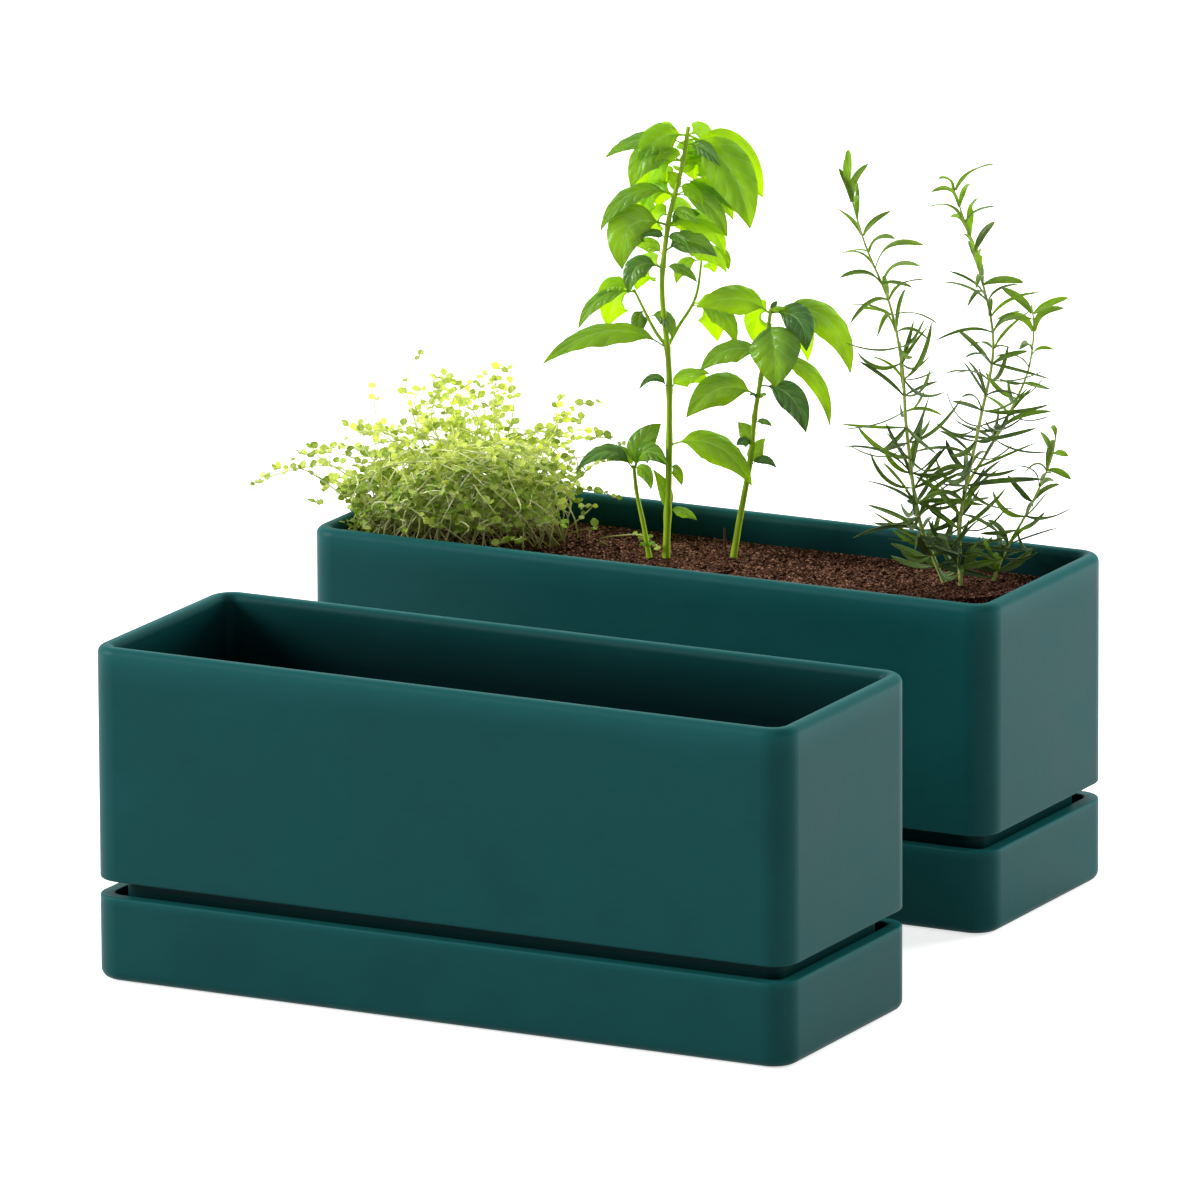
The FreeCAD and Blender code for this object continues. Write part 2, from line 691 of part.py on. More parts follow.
# Leaves stand in a spiral from this share of the stem up; their lengths shrink towards the tip
LEAF_START_SHARE = 0.09
GOLDEN_ANGLE = 137.5
FIRST_HEADINGS = {"left": 100, "right": 50, "thin": 60, "sprig": 20}
SLIGHT_START_SHARE = 0.3
# A leaf's first slope and bend in degrees: at the stem's foot, gain towards its tip, unevenness
NARROW_RISE = (42, 22, 10)
NARROW_ARCH = (48, 0, 18)
NARROW_LENGTH_SHARES = (1, -0.45, 0.2)
UNEVEN_STEP = 1.7  # radians of unevenness from one leaf to the next


def narrow_leaves(stem, name, height):
    """Narrow arching leaves in a spiral about a stem."""
    start = SLIGHT_START_SHARE if name in ("thin", "sprig") else LEAF_START_SHARE
    count = int(height * (1 - start) / size("tarragon_leaf_pitch"))
    solids = []
    for k in range(count):
        step = k / count
        angle = FIRST_HEADINGS[name] + GOLDEN_ANGLE * k
        wave = math.sin(UNEVEN_STEP * k)
        length_share, rise, arch = (
            first + gain * step + uneven * wave
            for first, gain, uneven in (NARROW_LENGTH_SHARES, NARROW_RISE, NARROW_ARCH)
        )
        length = size("tarragon_leaf_length") * length_share
        width = size("tarragon_leaf_width")
        thickness = size("tarragon_leaf_thickness")
        share = start + (1 - start) * step
        solids.append(
            leaf_on(stem, share, angle, rise, arch, length, width, thickness, NARROW_LEAF_SHARES)
        )
    return solids


def make_tarragon():
    """Three stems on one root ball, each with its narrow leaves."""
    base = crown("tarragon")
    ball = size("tarragon_ball_radius")
    height = size("tarragon_height")
    for name in TARRAGON_STEMS:
        across_share, away_share = TARRAGON_FOOT_SHARES[name]
        foot = base + ACROSS * (across_share * ball) + AWAY * (away_share * ball)
        points = plane_points(foot, height, TARRAGON_LINE_SHARES[name])
        thin = size("tarragon_thin_radius")
        tip = size("tarragon_tip_radius")
        stem = Stem(points, thin if name == "thin" else size("tarragon_stem_radius"), tip)
        solid = stem.solid()
        leaves = narrow_leaves(stem, name, points[-1].z - foot.z)
        if name == "right":
            sprig = branch(stem, SPRIG_SHARE, SPRIG_LINE_SHARES, height, thin, tip)
            solid = solid.fuse([sprig.solid()])
            leaves += narrow_leaves(sprig, "sprig", height * SPRIG_LINE_SHARES[-1][0])
        keep("tarragon_%s_stem" % name, [solid])
        keep("tarragon_%s_leaves" % name, leaves)


make_tarragon()


# Thyme

# Rings of stems: count, first heading, then shares of the crown's radius, the reach and the height.
# The last three are stray stems: two hang over the pot's end and one trails over the soil.
THYME_RINGS_SHARES = [
    (5, 20, 0.25, 0.3, 1.0),
    (7, 50, 0.6, 0.65, 0.9),
    (9, 10, 0.95, 1.0, 0.62),
    (1, 174, 0.9, 1.55, 0.38),
    (1, 206, 0.9, 1.4, 0.5),
    (1, 335, 0.95, 1.3, 0.2),
]
THYME_LEAN_SHARE = -0.12  # the bush leans to the left by this share of its reach
THYME_DEPTH_SHARE = 0.7  # depth of the bush beside its breadth
THYME_BARE_SHARE = 0.4  # the lower part of each stem has no leaves
THYME_UNEVEN_SHARE = 0.14
THYME_LINE_SHARES = [(0.3, 0.45), (0.7, 0.85)]  # a stem's line as (outward, up) shares
THYME_SLOPE = 30  # first slope and bend of the leaves, and turn from stem to stem, in degrees
THYME_ARCH = 25
THYME_TURN = 40
THYME_SHRINK_SHARE = 0.3  # loss of leaf size towards a stem's tip


def thyme_stems():
    base = crown("thyme")
    stems = []
    for count, first, crown_share, reach_share, height_share in THYME_RINGS_SHARES:
        for k in range(count):
            angle = math.radians(first + 360 * k / count)
            out = ACROSS * math.cos(angle) + AWAY * (THYME_DEPTH_SHARE * math.sin(angle))
            uneven = 1 + THYME_UNEVEN_SHARE * math.sin(UNEVEN_STEP * k + count)
            foot = base + out * (crown_share * size("thyme_crown_radius"))
            lean = ACROSS * (THYME_LEAN_SHARE * size("thyme_reach"))
            reach = out * (reach_share * uneven * size("thyme_reach")) + lean
            rise = height_share * uneven * size("thyme_height")
            tip = base + reach + UP * rise
            spread = tip - foot
            level = Vector(spread.x, spread.y, 0)
            points = [foot]
            for level_share, rise_share in THYME_LINE_SHARES:
                points.append(foot + level * level_share + UP * (rise_share * rise))
            stems.append(
                Stem(points + [tip], size("thyme_stem_radius"), size("thyme_tip_radius"))
            )
    return stems


def thyme_leaves(stem, number):
    """Pairs of small leaves up a stem, each pair turned a quarter from the last."""
    length = stem.curve.length() * (1 - THYME_BARE_SHARE)
    count = int(length / size("thyme_leaf_pitch"))
    solids = []
    for k in range(count):
        share = THYME_BARE_SHARE + (1 - THYME_BARE_SHARE) * (k + 0.5) / count
        for side in (0, 180):
            angle = THYME_TURN * number + 90 * k + side
            scale = 1 - THYME_SHRINK_SHARE * k / count
            reach = size("thyme_leaf_length") * scale
            breadth = size("thyme_leaf_width") * scale
            solids.append(
                leaf_on(
                    stem, share, angle, THYME_SLOPE, THYME_ARCH, reach, breadth,
                    size("thyme_leaf_thickness"), THYME_LEAF_SHARES
                )
            )
    return solids


def make_thyme():
    stems = thyme_stems()
    keep("thyme_stems", [stem.solid() for stem in stems])
    leaves = []
    for number, stem in enumerate(stems):
        leaves += thyme_leaves(stem, number)
    keep("thyme_leaves", leaves)


make_thyme()


# Write the parts

doc.recompute()
for item in doc.Objects:
    if "Invalid" in item.State or "Error" in item.State:
        raise ValueError(item.Label + " did not build")
os.makedirs("parts", exist_ok=True)
for item in PARTS:
    if item.Shape.isNull() or not item.Shape.isValid():
        raise ValueError(item.Label + " has no valid shape")
    item.Shape.exportStep("parts/%s.step" % item.Label)
    box = item.Shape.BoundBox
    print("%-24s solids %3d volume %10.1f z %.1f to %.1f" % (
        item.Label, len(item.Shape.Solids), item.Shape.Volume, box.ZMin, box.ZMax))
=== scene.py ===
# %% [markdown]
# # A pair of window-sill herb planters
# Two long glazed pots stand in their own saucers. The front one is empty, and the rear one holds
# soil with thyme, basil and tarragon. The pots and saucers come from the CAD model as they are and
# only need their glaze. Everything soft or grown (soil, root balls, stems and leaves) is a simple
# solid in CAD, so it is modelled again here in the same place, with its real form.

# %% Load the CAD model
import bpy
import random
from math import copysign, cos, hypot, pi, radians, sin, sqrt

import numpy as np
from mathutils import Matrix, Vector


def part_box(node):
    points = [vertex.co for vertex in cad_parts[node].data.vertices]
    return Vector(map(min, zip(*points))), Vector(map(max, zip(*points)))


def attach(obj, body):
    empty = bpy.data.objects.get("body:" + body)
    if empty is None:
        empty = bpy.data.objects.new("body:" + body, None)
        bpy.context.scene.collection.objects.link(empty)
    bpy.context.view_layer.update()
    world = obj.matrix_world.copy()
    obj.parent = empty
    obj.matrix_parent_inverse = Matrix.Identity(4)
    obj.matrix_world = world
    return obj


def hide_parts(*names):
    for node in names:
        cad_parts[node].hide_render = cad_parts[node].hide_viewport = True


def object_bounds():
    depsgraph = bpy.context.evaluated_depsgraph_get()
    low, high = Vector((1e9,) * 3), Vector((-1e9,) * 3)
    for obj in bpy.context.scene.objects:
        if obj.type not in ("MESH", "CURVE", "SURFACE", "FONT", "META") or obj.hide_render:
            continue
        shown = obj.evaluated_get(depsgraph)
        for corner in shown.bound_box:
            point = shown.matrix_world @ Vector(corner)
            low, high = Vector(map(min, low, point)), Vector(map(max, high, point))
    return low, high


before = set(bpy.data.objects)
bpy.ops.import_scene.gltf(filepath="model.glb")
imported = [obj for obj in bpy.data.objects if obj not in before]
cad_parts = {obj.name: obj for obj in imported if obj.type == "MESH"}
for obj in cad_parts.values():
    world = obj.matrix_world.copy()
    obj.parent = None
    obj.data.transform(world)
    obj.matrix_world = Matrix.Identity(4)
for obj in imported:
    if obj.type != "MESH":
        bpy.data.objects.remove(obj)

MM = 0.001
cad_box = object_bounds()

# %% [markdown]
# ## Camera
# The photograph was taken with a long lens, so lines that run away from us hardly close in. The
# camera therefore stands more than six metres away, turned to the right side and looking down a
# little. It is placed so that the front saucer's middle falls where the photograph has it.

# %% Camera
YAW = radians(-27.6)
PITCH = radians(13.78)
ROLL = radians(-0.29)
DISTANCE = 6.24
FOCAL_WIDTHS = 13.33
ORIGIN_RIGHT_SHARE = -0.0831
ORIGIN_DOWN_SHARE = 0.3267
SENSOR = 36.0

forward = Vector((sin(YAW) * cos(PITCH), cos(YAW) * cos(PITCH), -sin(PITCH)))
level = Vector((cos(YAW), -sin(YAW), 0))
upward = level.cross(forward)
right = level * cos(ROLL) + upward * sin(ROLL)
upward = upward * cos(ROLL) - level * sin(ROLL)
aside = right * (ORIGIN_RIGHT_SHARE / FOCAL_WIDTHS)
below = upward * (-ORIGIN_DOWN_SHARE / FOCAL_WIDTHS)

bpy.ops.object.camera_add()
camera = bpy.context.object
camera.data.lens = SENSOR * FOCAL_WIDTHS
camera.data.sensor_width = SENSOR
camera.data.clip_start = 0.1
camera.data.clip_end = 50
camera.matrix_world = Matrix.Translation((forward + aside + below) * -DISTANCE) @ Matrix(
    (right, upward, -forward)).transposed().to_4x4()
bpy.context.scene.camera = camera
print("camera at", [round(value, 2) for value in camera.location], "lens", round(camera.data.lens), "mm")

# %% [markdown]
# ## Small helpers
# Blender's operators act on whatever is selected, and the freshly loaded CAD nodes all are. So each
# step first selects exactly the object that it works on. `modify` adds one modifier and applies it.
# `looks` keeps each finish under its slot's name. The node helpers build shaders. Each input is given
# as a number, a colour or another node's output, and most helpers ask such an output for its tree.

# %% Selecting and modifying
def pick(piece):
    """Selects only this object and makes it the active one."""
    bpy.ops.object.select_all(action="DESELECT")
    piece.select_set(True)
    bpy.context.view_layer.objects.active = piece


def modify(piece, kind, **settings):
    """Adds one modifier with its settings and applies it."""
    pick(piece)
    bpy.ops.object.modifier_add(type=kind)
    modifier = piece.modifiers[-1]
    for name, value in settings.items():
        setattr(modifier, name, value)
    bpy.ops.object.modifier_apply(modifier=modifier.name)


def smooth(piece, angle):
    """Smooth shading, except over edges that are sharper than the angle in degrees."""
    pick(piece)
    bpy.ops.object.shade_smooth_by_angle(angle=radians(angle))


def select_points(piece, chosen):
    """Selects the active object's points whose place passes a test, and stays in Edit Mode."""
    bpy.ops.object.mode_set(mode="EDIT")
    bpy.ops.mesh.select_mode(type="VERT")
    bpy.ops.mesh.select_all(action="DESELECT")
    bpy.ops.object.mode_set(mode="OBJECT")
    for point in piece.data.vertices:
        point.select = chosen(point.co)
    bpy.ops.object.mode_set(mode="EDIT")


looks = {}


def settle(piece, name, slot, *nodes):
    """Names a finished piece, gives it its finish, ties it to the rear pot's body and hides the CAD nodes it
    stands for.
    """
    piece.name = name
    piece.data.name = name
    piece.data.materials.clear()
    piece.data.materials.append(looks[slot])
    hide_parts(*nodes)
    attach(piece, "rear_pot")
    print(name, len(piece.data.polygons), "faces")


# %% Node helpers
def feed(socket, value):
    """Sets an input to a number or colour, or links another node's output to it."""
    if isinstance(value, bpy.types.NodeSocket):
        socket.id_data.links.new(value, socket)
    else:
        socket.default_value = value


def add_node(tree, kind, settings=None, **inputs):
    """Adds a shader node, with its inputs given by name."""
    made = tree.nodes.new("ShaderNode" + kind)
    for name, value in (settings or {}).items():
        setattr(made, name, value)
    for name, value in inputs.items():
        feed(made.inputs[name.replace("_", " ")], value)
    return made


def place_group(tree, group, **inputs):
    """Adds a node group, and returns its outputs."""
    return add_node(tree, "Group", {"node_tree": group}, **inputs).outputs


def calculate(operation, first, *others, kind="Math"):
    """A Math node, or another kind with the same operations, whose first value is a socket."""
    made = add_node(first.id_data, kind, {"operation": operation})
    for socket, value in zip(made.inputs, (first,) + others):
        feed(socket, value)
    return made.outputs[0]


def blend(factor, first, second):
    """A Mix node for two colours."""
    made = add_node(factor.id_data, "Mix", {"data_type": "RGBA"}, Factor=factor)
    feed(made.inputs[6], first)
    feed(made.inputs[7], second)
    return made.outputs[2]


def remap(value, low, high, to_low=0.0, to_high=1.0, shape="LINEAR"):
    """Turns one range of values into another, which it doesn't leave."""
    return add_node(value.id_data, "MapRange", {"interpolation_type": shape}, Value=value,
                    From_Min=low, From_Max=high, To_Min=to_low, To_Max=to_high).outputs[0]


def axis(vector, name):
    """One of a vector's three numbers."""
    return add_node(vector.id_data, "SeparateXYZ", Vector=vector).outputs[name]


def new_group(name, inputs, outputs):
    """An empty shader node group with named sockets. Each input is (name, kind, default)."""
    tree = bpy.data.node_groups.new(name, "ShaderNodeTree")
    for label, kind, default in inputs:
        socket = tree.interface.new_socket(label, in_out="INPUT", socket_type="NodeSocket" + kind)
        if default is not None:
            socket.default_value = default
    for label, kind in outputs:
        tree.interface.new_socket(label, in_out="OUTPUT", socket_type="NodeSocket" + kind)
    return tree, tree.nodes.new("NodeGroupInput").outputs, tree.nodes.new("NodeGroupOutput").inputs


def new_material(name):
    """A material with its Principled shader and its texture coordinates."""
    material = bpy.data.materials.new(name)
    material.use_nodes = True
    tree = material.node_tree
    return material, tree, tree.nodes["Principled BSDF"], add_node(tree, "TexCoord").outputs


def dress(shader, colour, roughness, specular, height, strength, distance):
    """Gives a Principled shader its colour, roughness, strength of reflection and bump."""
    feed(shader.inputs["Base Color"], colour)
    feed(shader.inputs["Roughness"], roughness)
    shader.inputs["Specular IOR Level"].default_value = specular
    bump = add_node(shader.id_data, "Bump", Height=height, Strength=strength, Distance=distance)
    feed(shader.inputs["Normal"], bump.outputs[0])


def join_shaders(joint, first, second, output="Material Output"):
    """Feeds two shaders to an Add or Mix Shader node, and shows the result."""
    feed(joint.inputs[-2], first.outputs[0])
    feed(joint.inputs[-1], second.outputs[0])
    feed(joint.id_data.nodes[output].inputs["Surface"], joint.outputs[0])


# %% [markdown]
# ## Shared effects
# Three effects turn up in more than one finish, so each is built once as a node group. *Mottle*
# is soft cloudy unevenness: in a glaze it is the pigment pooling, in a leaf it is older and younger
# tissue. *Veins* draws a leaf's midrib and side veins from the leaf's own UV map, where U runs
# across the leaf and V from its foot to its tip. *Granules* colours soil grain by grain.

# %% Group: mottle
mottle, given, result = new_group(
    "mottle",
    [("Vector", "Vector", None), ("Scale", "Float", 20.0), ("Contrast", "Float", 1.0)],
    [("Mask", "Float"), ("Height", "Float")])
clouds = add_node(mottle, "TexNoise", Vector=given["Vector"], Scale=given["Scale"], Detail=4.0)
clouds = clouds.outputs["Fac"]
spread = calculate("MULTIPLY", calculate("SUBTRACT", clouds, 0.5), given["Contrast"])
clamp = add_node(mottle, "Clamp", Value=calculate("ADD", spread, 0.5))
feed(result["Mask"], clamp.outputs[0])
feed(result["Height"], clouds)
print("mottle:", len(mottle.nodes), "nodes")

# %% Group: veins
veins, given, result = new_group(
    "veins",
    [("UV", "Vector", None), ("Pairs", "Float", 6.0), ("Lean", "Float", 0.35), ("Width", "Float", 0.1)],
    [("Veins", "Float"), ("Height", "Float")])
RIB_HALF_WIDTH = 0.045
SIDE_VEIN_STRENGTH = 0.7
across_leaf = calculate("FRACT", axis(given["UV"], "X"))
off_middle = calculate("ABSOLUTE", calculate("SUBTRACT", across_leaf, 0.5))
lean = calculate("MULTIPLY", calculate("POWER", off_middle, 0.8), given["Lean"])
along = calculate("SUBTRACT", axis(given["UV"], "Y"), lean)
wobble = add_node(veins, "TexNoise", Vector=given["UV"], Scale=5.0).outputs["Fac"]
along = calculate("ADD", calculate("MULTIPLY", along, given["Pairs"]), calculate("MULTIPLY", wobble, 0.5))
to_vein = calculate("PINGPONG", along, 0.5)
side_veins = remap(to_vein, 0, given["Width"], 1, 0, "SMOOTHSTEP")
rib = remap(off_middle, 0, RIB_HALF_WIDTH, 1, 0, "SMOOTHSTEP")
either = calculate("MAXIMUM", calculate("MULTIPLY", side_veins, SIDE_VEIN_STRENGTH), rib)
quilt = calculate("MULTIPLY", calculate("POWER", to_vein, 0.6), calculate("MINIMUM", off_middle, 0.3))
feed(result["Veins"], either)
feed(result["Height"], quilt)
print("veins:", len(veins.nodes), "nodes")

# %% Group: granules
granules, given, result = new_group(
    "granules",
    [("Vector", "Vector", None)] + [(label, "Color", (0, 0, 0, 1)) for label in ("Dark", "Brown", "Pale")],
    [("Color", "Color"), ("Height", "Float")])
cells = add_node(granules, "TexVoronoi", Vector=given["Vector"], Scale=950.0).outputs
damp = place_group(granules, mottle, Vector=given["Vector"], Scale=45.0, Contrast=2.0)
shade = add_node(granules, "SeparateColor", Color=cells["Color"]).outputs[0]
earth = blend(shade, given["Dark"], given["Brown"])
few = calculate("MULTIPLY", remap(shade, 0.72, 1), damp["Mask"])
earth = blend(few, earth, given["Pale"])
# Painted shade: the edges between the grains are darkened towards the dark soil colour.
painted_gap_shade = remap(cells["Distance"], 0.3, 0.65)
feed(result["Color"], blend(painted_gap_shade, earth, given["Dark"]))
feed(result["Height"], cells["Distance"])
print("granules:", len(granules.nodes), "nodes")

# %% [markdown]
# ## Glaze
# The pots wear a satin glaze in dark teal green. A satin glaze isn't a mirror: it spreads the light,
# so roughness is fairly high, and its own colour shows evenly. Real glaze pools a little and keeps
# faint level brush strokes, so the mottle group shifts its colour gently, and a very fine bump keeps
# highlights alive. The rims and a narrow band below them are painted lighter, a painted highlight
# where the rounded rims catch the light from above. Inside each pot and on its foot the colour is
# painted darker, as painted shade in the pot's hollow and in the gap above the saucer. Both places
# are further in from the pot's outline than its outer walls are, and that is how the group finds them.

# %% Group: glaze colour
glaze_colour, given, result = new_group(
    "glaze_colour",
    [("Vector", "Vector", None), ("Middle", "Vector", None), ("Half", "Vector", None)],
    [("Color", "Color"), ("Pooling", "Float")])
GLAZE_DEEP = (0.0030, 0.053, 0.055, 1)
GLAZE_LIGHT = (0.0045, 0.071, 0.072, 1)
# Painted highlight: the colour that the rims and the band just below them are lightened towards.
GLAZE_RIM_HIGHLIGHT = (0.0090, 0.106, 0.105, 1)
# Painted shade: the colour that the inside of each pot and its foot are darkened towards.
GLAZE_PAINTED_SHADE = (0.0003, 0.012, 0.014, 1)
POT_TOP = 134 * MM
SAUCER_TOP = 34 * MM
FOOT_TOP = 42 * MM
RIM_HIGHLIGHT_FADES = ((POT_TOP, 16 * MM), (SAUCER_TOP, 4 * MM))
STROKE_SCALE = (70, 70, 900)
STROKE_SHARE = 0.2
RIM_SHADE_DEPTH = 24 * MM
FOOT_LIGHTER = 0.3
tree, where = glaze_colour, given["Vector"]
pooling = place_group(tree, mottle, Vector=where, Scale=30.0, Contrast=1.5)["Mask"]
strokes = add_node(tree, "Mapping", Vector=where, Scale=STROKE_SCALE).outputs[0]
brushed = place_group(tree, mottle, Vector=strokes, Scale=1.0, Contrast=2.0)["Mask"]
uneven = calculate("ADD", calculate("MULTIPLY", pooling, 1 - STROKE_SHARE),
                   calculate("MULTIPLY", brushed, STROKE_SHARE))
coat = blend(uneven, GLAZE_DEEP, GLAZE_LIGHT)
level_z = axis(where, "Z")
# Painted highlight along the rims: lighter over the top 16 mm of each pot and the top 4 mm of each saucer.
pot_rim_highlight, saucer_rim_highlight = [calculate("POWER", remap(level_z, top - depth, top), 2.2) for top, depth in RIM_HIGHLIGHT_FADES]
below_pot = calculate("LESS_THAN", level_z, SAUCER_TOP + 2 * MM)
thin = calculate("MAXIMUM", pot_rim_highlight, calculate("MULTIPLY", saucer_rim_highlight, below_pot))
coat = blend(thin, coat, GLAZE_RIM_HIGHLIGHT)
off_middle = calculate("SUBTRACT", where, given["Middle"], kind="VectorMath")
off_middle = calculate("ABSOLUTE", off_middle, kind="VectorMath")
inward = calculate("SUBTRACT", given["Half"], off_middle, kind="VectorMath")
inward = calculate("MINIMUM", axis(inward, "X"), axis(inward, "Y"))
# Painted shade inside the pot and on its foot: points more than 4 to 7 mm in from the outline are darkened.
# The shade is about a third as strong at the rim, full from 24 mm below it, and weaker on the foot.
painted_shade_inside = remap(inward, 4 * MM, 7 * MM, shape="SMOOTHSTEP")
shade_strength = remap(level_z, POT_TOP, POT_TOP - RIM_SHADE_DEPTH, to_low=0.35)
on_foot = calculate("LESS_THAN", level_z, FOOT_TOP)
shade_strength = calculate("SUBTRACT", shade_strength, calculate("MULTIPLY", on_foot, FOOT_LIGHTER))
coat = blend(calculate("MULTIPLY", painted_shade_inside, shade_strength), coat, GLAZE_PAINTED_SHADE)
feed(result["Color"], coat)
feed(result["Pooling"], pooling)
print("glaze colour:", len(tree.nodes), "nodes")


# %% Glaze materials
def glaze_material(name, pot):
    """The glaze of one pot and its saucer. It has to know where the pot stands to find its inside, where
    shade is painted.
    """
    material, tree, shader, coordinates = new_material(name)
    where = coordinates["Object"]
    low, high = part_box(pot)
    coat = place_group(tree, glaze_colour, Vector=where, Middle=(low + high) / 2, Half=(high - low) / 2)
    roughness = remap(coat["Pooling"], 0, 1, 0.40, 0.50)
    grain = place_group(tree, mottle, Vector=where, Scale=260.0, Contrast=1.0)
    dress(shader, coat["Color"], roughness, 0.09, grain["Height"], 0.12, 0.4 * MM)
    return material


for place in ("front", "rear"):
    glaze = glaze_material(place + "_glaze", place + "_pot")
    for name in (place + "_pot", place + "_saucer"):
        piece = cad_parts[name]
        piece.data.materials.clear()
        piece.data.materials.append(glaze)
        print("glazed", name)

# %% [markdown]
# ## Soil
# Fresh potting soil is a bed of dark reddish-brown grains about a millimetre across. A flat texture
# would look like carpet from the side, so the surface is a fine grid that three Displace modifiers
# push up and down: one for the gentle heaps, one for the grains and one for the finest grains. Loose
# crumbs of several sizes lie on top. Below the surface the bed is extruded down to the pot's shelf
# and into its foot.

# %% Soil material
SOIL = {"Dark": (0.030, 0.013, 0.009, 1), "Brown": (0.265, 0.130, 0.080, 1), "Pale": (0.42, 0.24, 0.165, 1)}
looks["soil"], tree, shader, coordinates = new_material("potting_soil")
grains = place_group(tree, granules, Vector=coordinates["Object"], **SOIL)
dress(shader, grains["Color"], 0.9, 0.0, grains["Height"], 0.8, 0.6 * MM)
print("soil colours:", list(SOIL))

# %% Soil bed
soil_low, soil_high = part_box("potting_soil")
SOIL_LEVEL = 122 * MM
SHELF_LEVEL = 47.4 * MM
CORNER = 4 * MM
FOOT_STEP = 9 * MM
GRAIN_PITCH = 1.1 * MM
EDGE_MARGIN = 0.1 * MM
middle = (soil_low + soil_high) / 2
length = soil_high.x - soil_low.x
width = soil_high.y - soil_low.y
bpy.ops.mesh.primitive_grid_add(
    x_subdivisions=int(length / GRAIN_PITCH), y_subdivisions=int(width / GRAIN_PITCH),
    size=1, location=(middle.x, middle.y, SOIL_LEVEL))
bed = bpy.context.object
bed.scale = (length, width, 1)
bpy.ops.object.transform_apply(location=True, scale=True)


def round_corners(piece, radius):
    """Pulls the points in a flat rectangle's four corners onto a quarter circle."""
    for point in piece.data.vertices:
        from_middle = point.co - middle
        overx = abs(from_middle.x) - (length / 2 - radius)
        overy = abs(from_middle.y) - (width / 2 - radius)
        reach = hypot(overx, overy)
        if overx > 0 and overy > 0 and reach > radius:
            excess = 1 - radius / reach
            point.co.x -= copysign(overx * excess, from_middle.x)
            point.co.y -= copysign(overy * excess, from_middle.y)


round_corners(bed, CORNER)
rim = bed.vertex_groups.new(name="surface")
inside = [
    point.index for point in bed.data.vertices
    if abs(point.co.x - middle.x) < length / 2 - EDGE_MARGIN
    and abs(point.co.y - middle.y) < width / 2 - EDGE_MARGIN]
rim.add(inside, 1.0, "REPLACE")


def cloud_texture(name, kind, **settings):
    texture = bpy.data.textures.new(name, kind)
    for label, value in settings.items():
        setattr(texture, label, value)
    return texture


heaps = cloud_texture("heaps", "CLOUDS", noise_scale=0.035, noise_depth=1)
crumble = cloud_texture("crumble", "VORONOI", noise_scale=0.0022, weight_1=1.0)
fine = cloud_texture("fine", "CLOUDS", noise_scale=0.0016, noise_depth=1)
for texture, strength, mid_level in ((heaps, 5 * MM, 0.55), (crumble, -1.5 * MM, 0.4), (fine, 1.3 * MM, 0.5)):
    modify(bed, "DISPLACE", texture=texture, strength=strength, mid_level=mid_level,
           vertex_group="surface", direction="Z", texture_coords="GLOBAL")
print("soil surface", len(bed.data.vertices), "points")

# %% Soil body below its surface
pick(bed)
bpy.ops.object.mode_set(mode="EDIT")
bpy.ops.mesh.select_all(action="SELECT")
bpy.ops.mesh.region_to_loop()
bpy.ops.mesh.extrude_edges_move(TRANSFORM_OT_translate={"value": (0, 0, SHELF_LEVEL - SOIL_LEVEL)})
bpy.ops.mesh.extrude_edges_move()
bpy.ops.transform.resize(
    value=((length - 2 * FOOT_STEP) / length, (width - 2 * FOOT_STEP) / width, 1),
    center_override=(middle.x, middle.y, SHELF_LEVEL))
bpy.ops.mesh.extrude_edges_move(TRANSFORM_OT_translate={"value": (0, 0, soil_low.z - SHELF_LEVEL)})
bpy.ops.mesh.edge_face_add()
bpy.ops.mesh.select_all(action="SELECT")
bpy.ops.mesh.normals_make_consistent(inside=False)
bpy.ops.object.mode_set(mode="OBJECT")
smooth(bed, 60)
print("soil bed", len(bed.data.polygons), "faces")

# %% [markdown]
# ## Merging many copies
# A herb has hundreds of leaves and the soil hundreds of crumbs. Each kind is modelled once; every
# copy gets its own points from NumPy, and all copies of one kind become one mesh with their UV maps.

# %% Copies in one mesh
def read_points(piece):
    points = np.empty(len(piece.data.vertices) * 3)
    piece.data.vertices.foreach_get("co", points)
    return points.reshape(-1, 3)


def gather(name, master, shapes, ages_and_painted_light=()):
    """One mesh of many copies of a master's faces, each copy with its own array of points.

    Leaves also have an age, from 0 (old) to 9 (youngest). It moves a copy's UV map that many tiles
    to the side, where the leaf finish reads it. For some leaves the number also carries painted
    light: basil leaves that reach away from us get 9 for a painted backlit glow, and low thyme
    leaves get less for painted shade.
    """
    faces = [tuple(face.vertices) for face in master.data.polygons]
    count = len(master.data.vertices)
    points = np.concatenate(shapes)
    all_faces = [tuple(corner + count * k for corner in face) for k in range(len(shapes)) for face in faces]
    mesh = bpy.data.meshes.new(name)
    mesh.from_pydata(points.tolist(), [], all_faces)
    source = master.data.uv_layers.active
    if source:
        places = np.empty(len(source.data) * 2)
        source.data.foreach_get("uv", places)
        places = np.tile(places.reshape(1, -1, 2), (len(shapes), 1, 1))
        if len(ages_and_painted_light):
            places[:, :, 0] = 0.02 + 0.96 * places[:, :, 0] + np.array(ages_and_painted_light)[:, None]
        layer = mesh.uv_layers.new(name="UVMap")
        layer.data.foreach_set("uv", places.ravel())
    piece = bpy.data.objects.new(name, mesh)
    bpy.context.scene.collection.objects.link(piece)
    return piece


